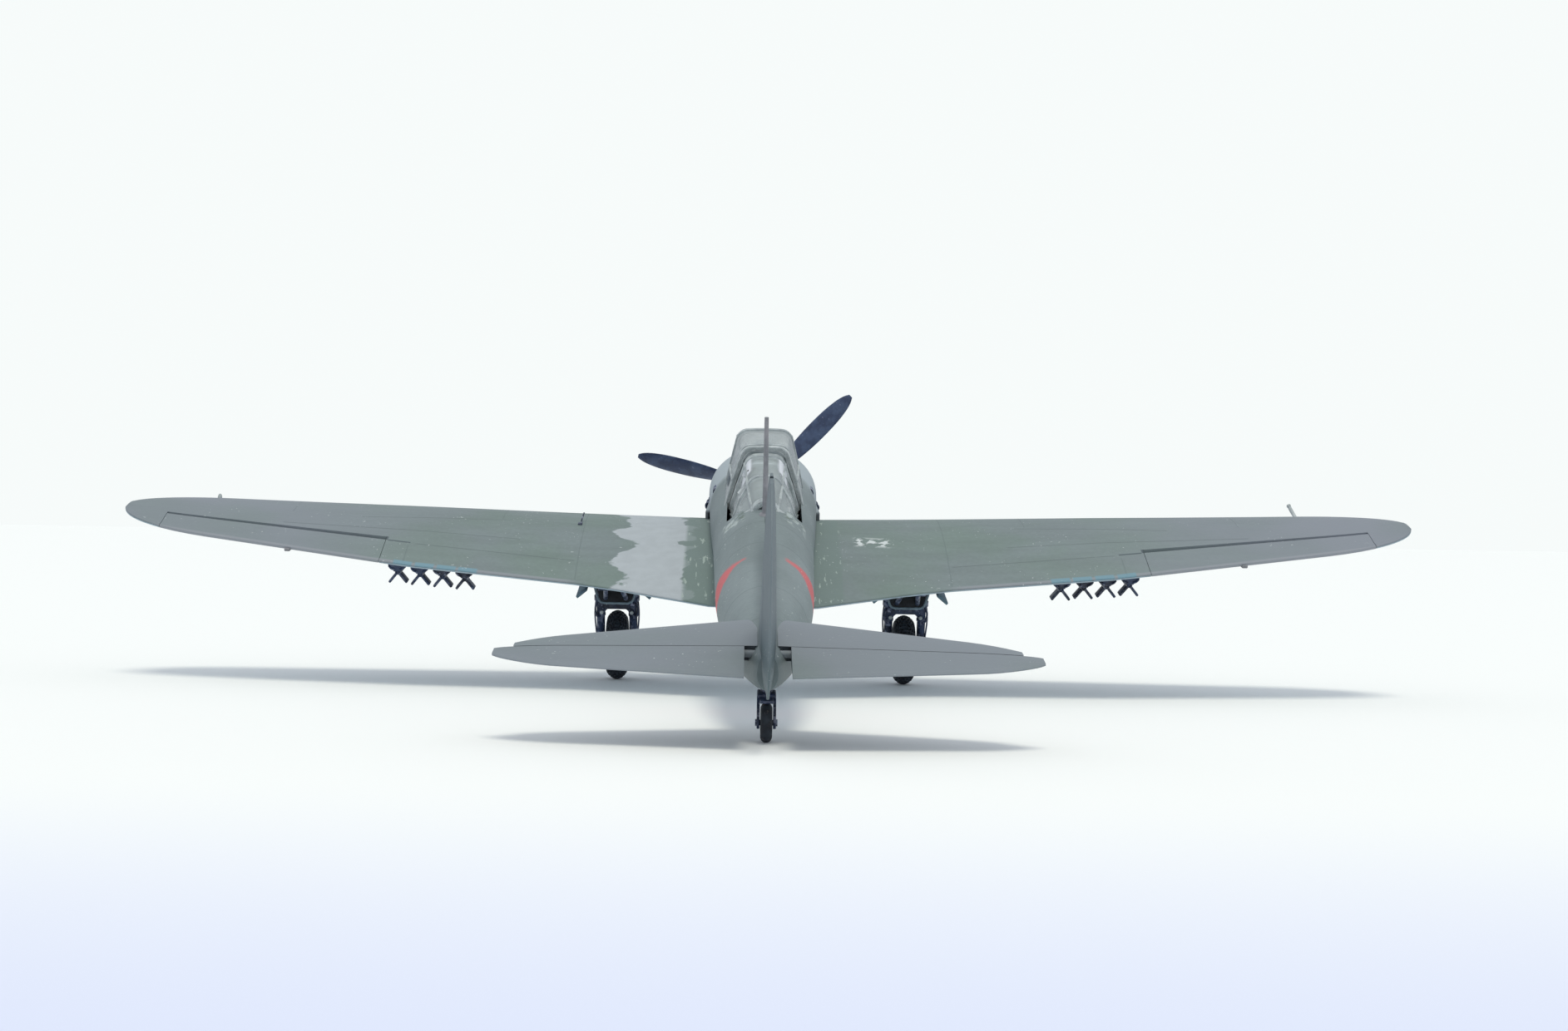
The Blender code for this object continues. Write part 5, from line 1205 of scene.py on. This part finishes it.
def make_fin():
    thickness = 0.075
    rings = []
    for height in steps(6.4, 27.4, 20) + [28.0, 28.4, 28.6]:
        front, rear = read_table(FIN_PLAN, height)
        section = tail_section(front, rear, front, RUDDER_HINGE - 0.2, thickness, False)
        rings.append([Vector((offset, s, height)) for s, offset in section])
    hinge = (ELEVATOR_HINGE, TAILPLANE_HEIGHT)
    fin = carve(loft(rings), rod((-4, *hinge), (4, *hinge), ELEVATOR_HOLE))
    add("fin_skin", fin, "airframe", HULL_PAINT, ["fin"])
    rings = []
    for height in steps(3.6, 27.6, 26) + [28.0, 28.3, 28.4]:
        front, rear = read_table(FIN_PLAN, height)
        section = tail_section(front, rear, RUDDER_HINGE, rear, thickness, True)
        rings.append([Vector((offset, s, height)) for s, offset in section])
    add("rudder_skin", loft(rings), "rudder_body", HULL_PAINT, ["rudder"])


def make_tail_wheel():
    """The swivelling fork with its stem, and the wheel in it."""
    inner = TAIL_WHEEL_HALF + 0.12
    crown = TAIL_AXLE_HEIGHT + TAIL_WHEEL_RADIUS + 0.35
    reach = TAIL_WHEEL_AT - TAIL_SWIVEL_AT
    shapes = []
    for away in (-1, 1):
        arm = [(-0.75, crown + 0.2), (1.3, crown + 0.2), (reach + 0.7, TAIL_AXLE_HEIGHT + 0.5)]
        arm += [(reach + 0.75 * math.cos(turn), TAIL_AXLE_HEIGHT + 0.75 * math.sin(turn))
                for turn in steps(0.0, -math.pi, 10)]
        shapes.append(slab(arm, 0.34, (away * (inner + 0.15), TAIL_SWIVEL_AT, 0), (0, 1, 0), (0, 0, 1), 0.06))
        shapes.append(rod((away * (inner + 0.1), TAIL_WHEEL_AT, TAIL_AXLE_HEIGHT),
                          (away * (inner + 0.5), TAIL_WHEEL_AT, TAIL_AXLE_HEIGHT), 0.42, sides=6))
    shapes.append(block((0, TAIL_SWIVEL_AT + 0.3, crown + 0.05), (2 * inner + 0.6, 2.3, 0.7), bevel=0.15))
    shapes.append(block((0, TAIL_WHEEL_AT - 0.6, crown - 0.1), (1.6, 2.2, 0.35), bevel=0.1))
    shapes.append(rod((-inner, TAIL_WHEEL_AT, TAIL_AXLE_HEIGHT), (inner, TAIL_WHEEL_AT, TAIL_AXLE_HEIGHT), 0.35))
    shapes.append(rod((0, TAIL_SWIVEL_AT, crown), (0, TAIL_SWIVEL_AT, 2.6), 0.72, chamfer=0.05))
    add("tail_fork", group(*shapes), "tail_fork", DARK, ["tail_wheel_fork"])
    half = TAIL_WHEEL_HALF
    outer = [(0.47, 1.0), (0.9, 1.0), (1.0, 0.75), (1.25, 0.75), (1.45, 1.0), (1.8, 1.0), (2.12, 0.8),
             (2.28, 0.5), (TAIL_WHEEL_RADIUS, 0.2)]
    profile = [(radius, half * along) for radius, along in outer]
    profile += [(radius, -along) for radius, along in reversed(profile)]
    centre = (0, TAIL_WHEEL_AT, TAIL_AXLE_HEIGHT)
    add("tail_tyre", lathe(profile, centre, (1, 0, 0), 64), "tail_wheel_body", TYRE, ["tail_wheel"])


# ---- propeller ----
BLADE = ((2.3, 1.6, 1.6, 50.0), (4.4, 1.6, 1.6, 48.0), (6.4, 2.4, 1.1, 44.0), (9.0, 3.2, 0.8, 38.0),
         (12.0, 3.6, 0.65, 33.0), (15.0, 3.6, 0.55, 29.0), (18.0, 3.3, 0.45, 26.0), (20.5, 2.6, 0.36, 24.0),
         (22.0, 1.7, 0.28, 23.0), (22.8, 0.75, 0.22, 22.5))


def make_propeller():
    hub = Vector((0, PROP_PLANE, 0))
    for number in range(3):
        angle = math.radians(FIRST_BLADE + 120.0 * number)
        outward = Vector((-math.cos(angle), 0.0, math.sin(angle)))
        forward = Vector((0, -1, 0))
        travel = outward.cross(forward)
        rings = []
        for radius in steps(2.3, 20.5, 26) + [21.2, 21.8, 22.3, 22.6, 22.8]:
            chord, thickness, pitch = read_table(BLADE, radius)
            turn = math.radians(pitch)
            along = travel * math.cos(turn) + forward * math.sin(turn)
            normal = travel * -math.sin(turn) + forward * math.cos(turn)
            centre = hub + outward * radius
            turns = [2 * math.pi * i / 28 for i in range(28)]
            rings.append([centre + along * chord / 2 * math.cos(t) + normal * thickness / 2 * math.sin(t)
                          for t in turns])
        collar = rod(hub + outward * 3.6, hub + outward * 4.9, 1.15, 1.0, chamfer=0.1)
        add(f"blade_{number + 1}", group(loft(rings), collar), "propeller", BLADE_PAINT,
            [f"propeller_blade_{number + 1}"])
    profile = [(SPINNER_RADIUS * (1 - share**2) ** 0.55, SPINNER_LENGTH * share) for share in steps(1.0, 0.0, 28)]
    profile += [(SPINNER_RADIUS - 0.5, 0.0), (SPINNER_RADIUS - 0.6, 0.3), (0.0, 0.3)]
    nut = lathe([(0.0, 0.3), (0.28, 0.25), (0.3, 0.0), (0.0, 0.0)], (0, 0.2, 0), (0, -1, 0), 24)
    shell = group(lathe(profile, (0, SPINNER_LENGTH, 0), (0, -1, 0), 64), nut)
    add("spinner_shell", shell, "propeller", DARK, ["spinner"])


# ---- CAD pieces whose shape is kept ----
def dress_cad():
    for node, material in (("nose_plate", DARK), ("prop_shaft", METAL), ("axle_left", METAL), ("axle_right", METAL)):
        mesh = frame["nodes"][node].data
        mesh.materials.clear()
        mesh.materials.append(material)


# ---- floor, light and camera ----
CAMERA_YAW, CAMERA_PITCH, CAMERA_ROLL = math.radians(-1.6), math.radians(0.321), math.radians(1.0)
CAMERA_SHIFT = 0.0645      # the picture's centre lies to one side of the lens axis
CAMERA_BACK = 0.3972       # behind the spinner's tip
CAMERA_PORT = 0.0031
CAMERA_HEIGHT = 0.0252
CAMERA_LENS = 49.87
AMBIENT = (0.61, 0.65, 0.70, 1.0)
OVERHEAD = (0.43, 0.42, 0.36)
OVERHEAD_SPREAD = math.radians(20.0)
BACKDROP = (0.93, 0.966, 0.96, 1.0)
FLOOR_PALE = (0.965, 0.975, 0.97)
FLOOR_SHADE_BLUE = (0.72, 0.765, 0.965)


def make_camera():
    data = bpy.data.cameras.new("camera")
    data.lens = CAMERA_LENS
    data.sensor_width = 36.0
    data.clip_start = 0.001
    data.shift_x = CAMERA_SHIFT
    camera = bpy.data.objects.new("camera", data)
    level = math.cos(CAMERA_PITCH)
    ahead = Vector((-math.sin(CAMERA_YAW) * level, -math.cos(CAMERA_YAW) * level, math.sin(CAMERA_PITCH)))
    across = Vector((-math.cos(CAMERA_YAW), math.sin(CAMERA_YAW), 0.0))
    above = across.cross(ahead)
    right = across * math.cos(CAMERA_ROLL) + above * math.sin(CAMERA_ROLL)
    top = above * math.cos(CAMERA_ROLL) - across * math.sin(CAMERA_ROLL)
    matrix = Matrix((right, top, -ahead)).transposed().to_4x4()
    matrix.translation = Vector((CAMERA_PORT, NOSE.y + CAMERA_BACK, CAMERA_HEIGHT))
    camera.matrix_world = matrix
    SCENE.collection.objects.link(camera)
    SCENE.camera = camera


def make_stage():
    """A pale floor with a band of bluish painted shade across it behind the tail."""
    bm = bmesh.new()
    bmesh.ops.create_grid(bm, x_segments=24, y_segments=24, size=6.0)
    mesh = bpy.data.meshes.new("floor")
    bm.to_mesh(mesh)
    bm.free()
    paint = Paint("floor", 0.8)
    # painted shade: the floor turns darker and bluer in a band between the tail and the camera
    near = paint.both(paint.ramp(paint.s, 185.0, 320.0), paint.ramp(paint.s, 330.0, 480.0, 1.0, 0.0))
    colour = paint.mix(near, FLOOR_PALE, FLOOR_SHADE_BLUE)
    mesh.materials.append(paint.finish(colour, paint.noise(3.0, 2.0), 0.01))
    floor = bpy.data.objects.new("floor", mesh)
    SCENE.collection.objects.link(floor)


def make_lights():
    """A white surround with a soft overhead light from the camera's side."""
    world = bpy.data.worlds.new("studio")
    world.use_nodes = True
    tree = world.node_tree
    seen = tree.nodes["Background"]
    seen.inputs["Color"].default_value = BACKDROP
    ambient = tree.nodes.new("ShaderNodeBackground")
    ambient.inputs["Color"].default_value = AMBIENT
    choose = tree.nodes.new("ShaderNodeMixShader")
    tree.links.new(tree.nodes.new("ShaderNodeLightPath").outputs["Is Camera Ray"], choose.inputs[0])
    tree.links.new(ambient.outputs[0], choose.inputs[1])
    tree.links.new(seen.outputs[0], choose.inputs[2])
    tree.links.new(choose.outputs[0], tree.nodes["World Output"].inputs["Surface"])
    SCENE.world = world
    data = bpy.data.lights.new("overhead", "SUN")
    data.angle = OVERHEAD_SPREAD
    data.energy = math.pi
    data.color = OVERHEAD
    light = bpy.data.objects.new("overhead", data)
    light.rotation_euler = (math.radians(-20.0), math.radians(-3.0), 0.0)
    SCENE.collection.objects.link(light)
    SCENE.view_settings.view_transform = "Standard"


make_fuselage()
make_nose_details()
make_canopy()
make_cockpit()
make_mast()
make_wings()
make_wing_details()
make_pods()
make_gear_legs()
make_wheels()
make_stores()
make_tailplane()
make_fin()
make_tail_wheel()
make_propeller()
dress_cad()
make_camera()
make_stage()
make_lights()
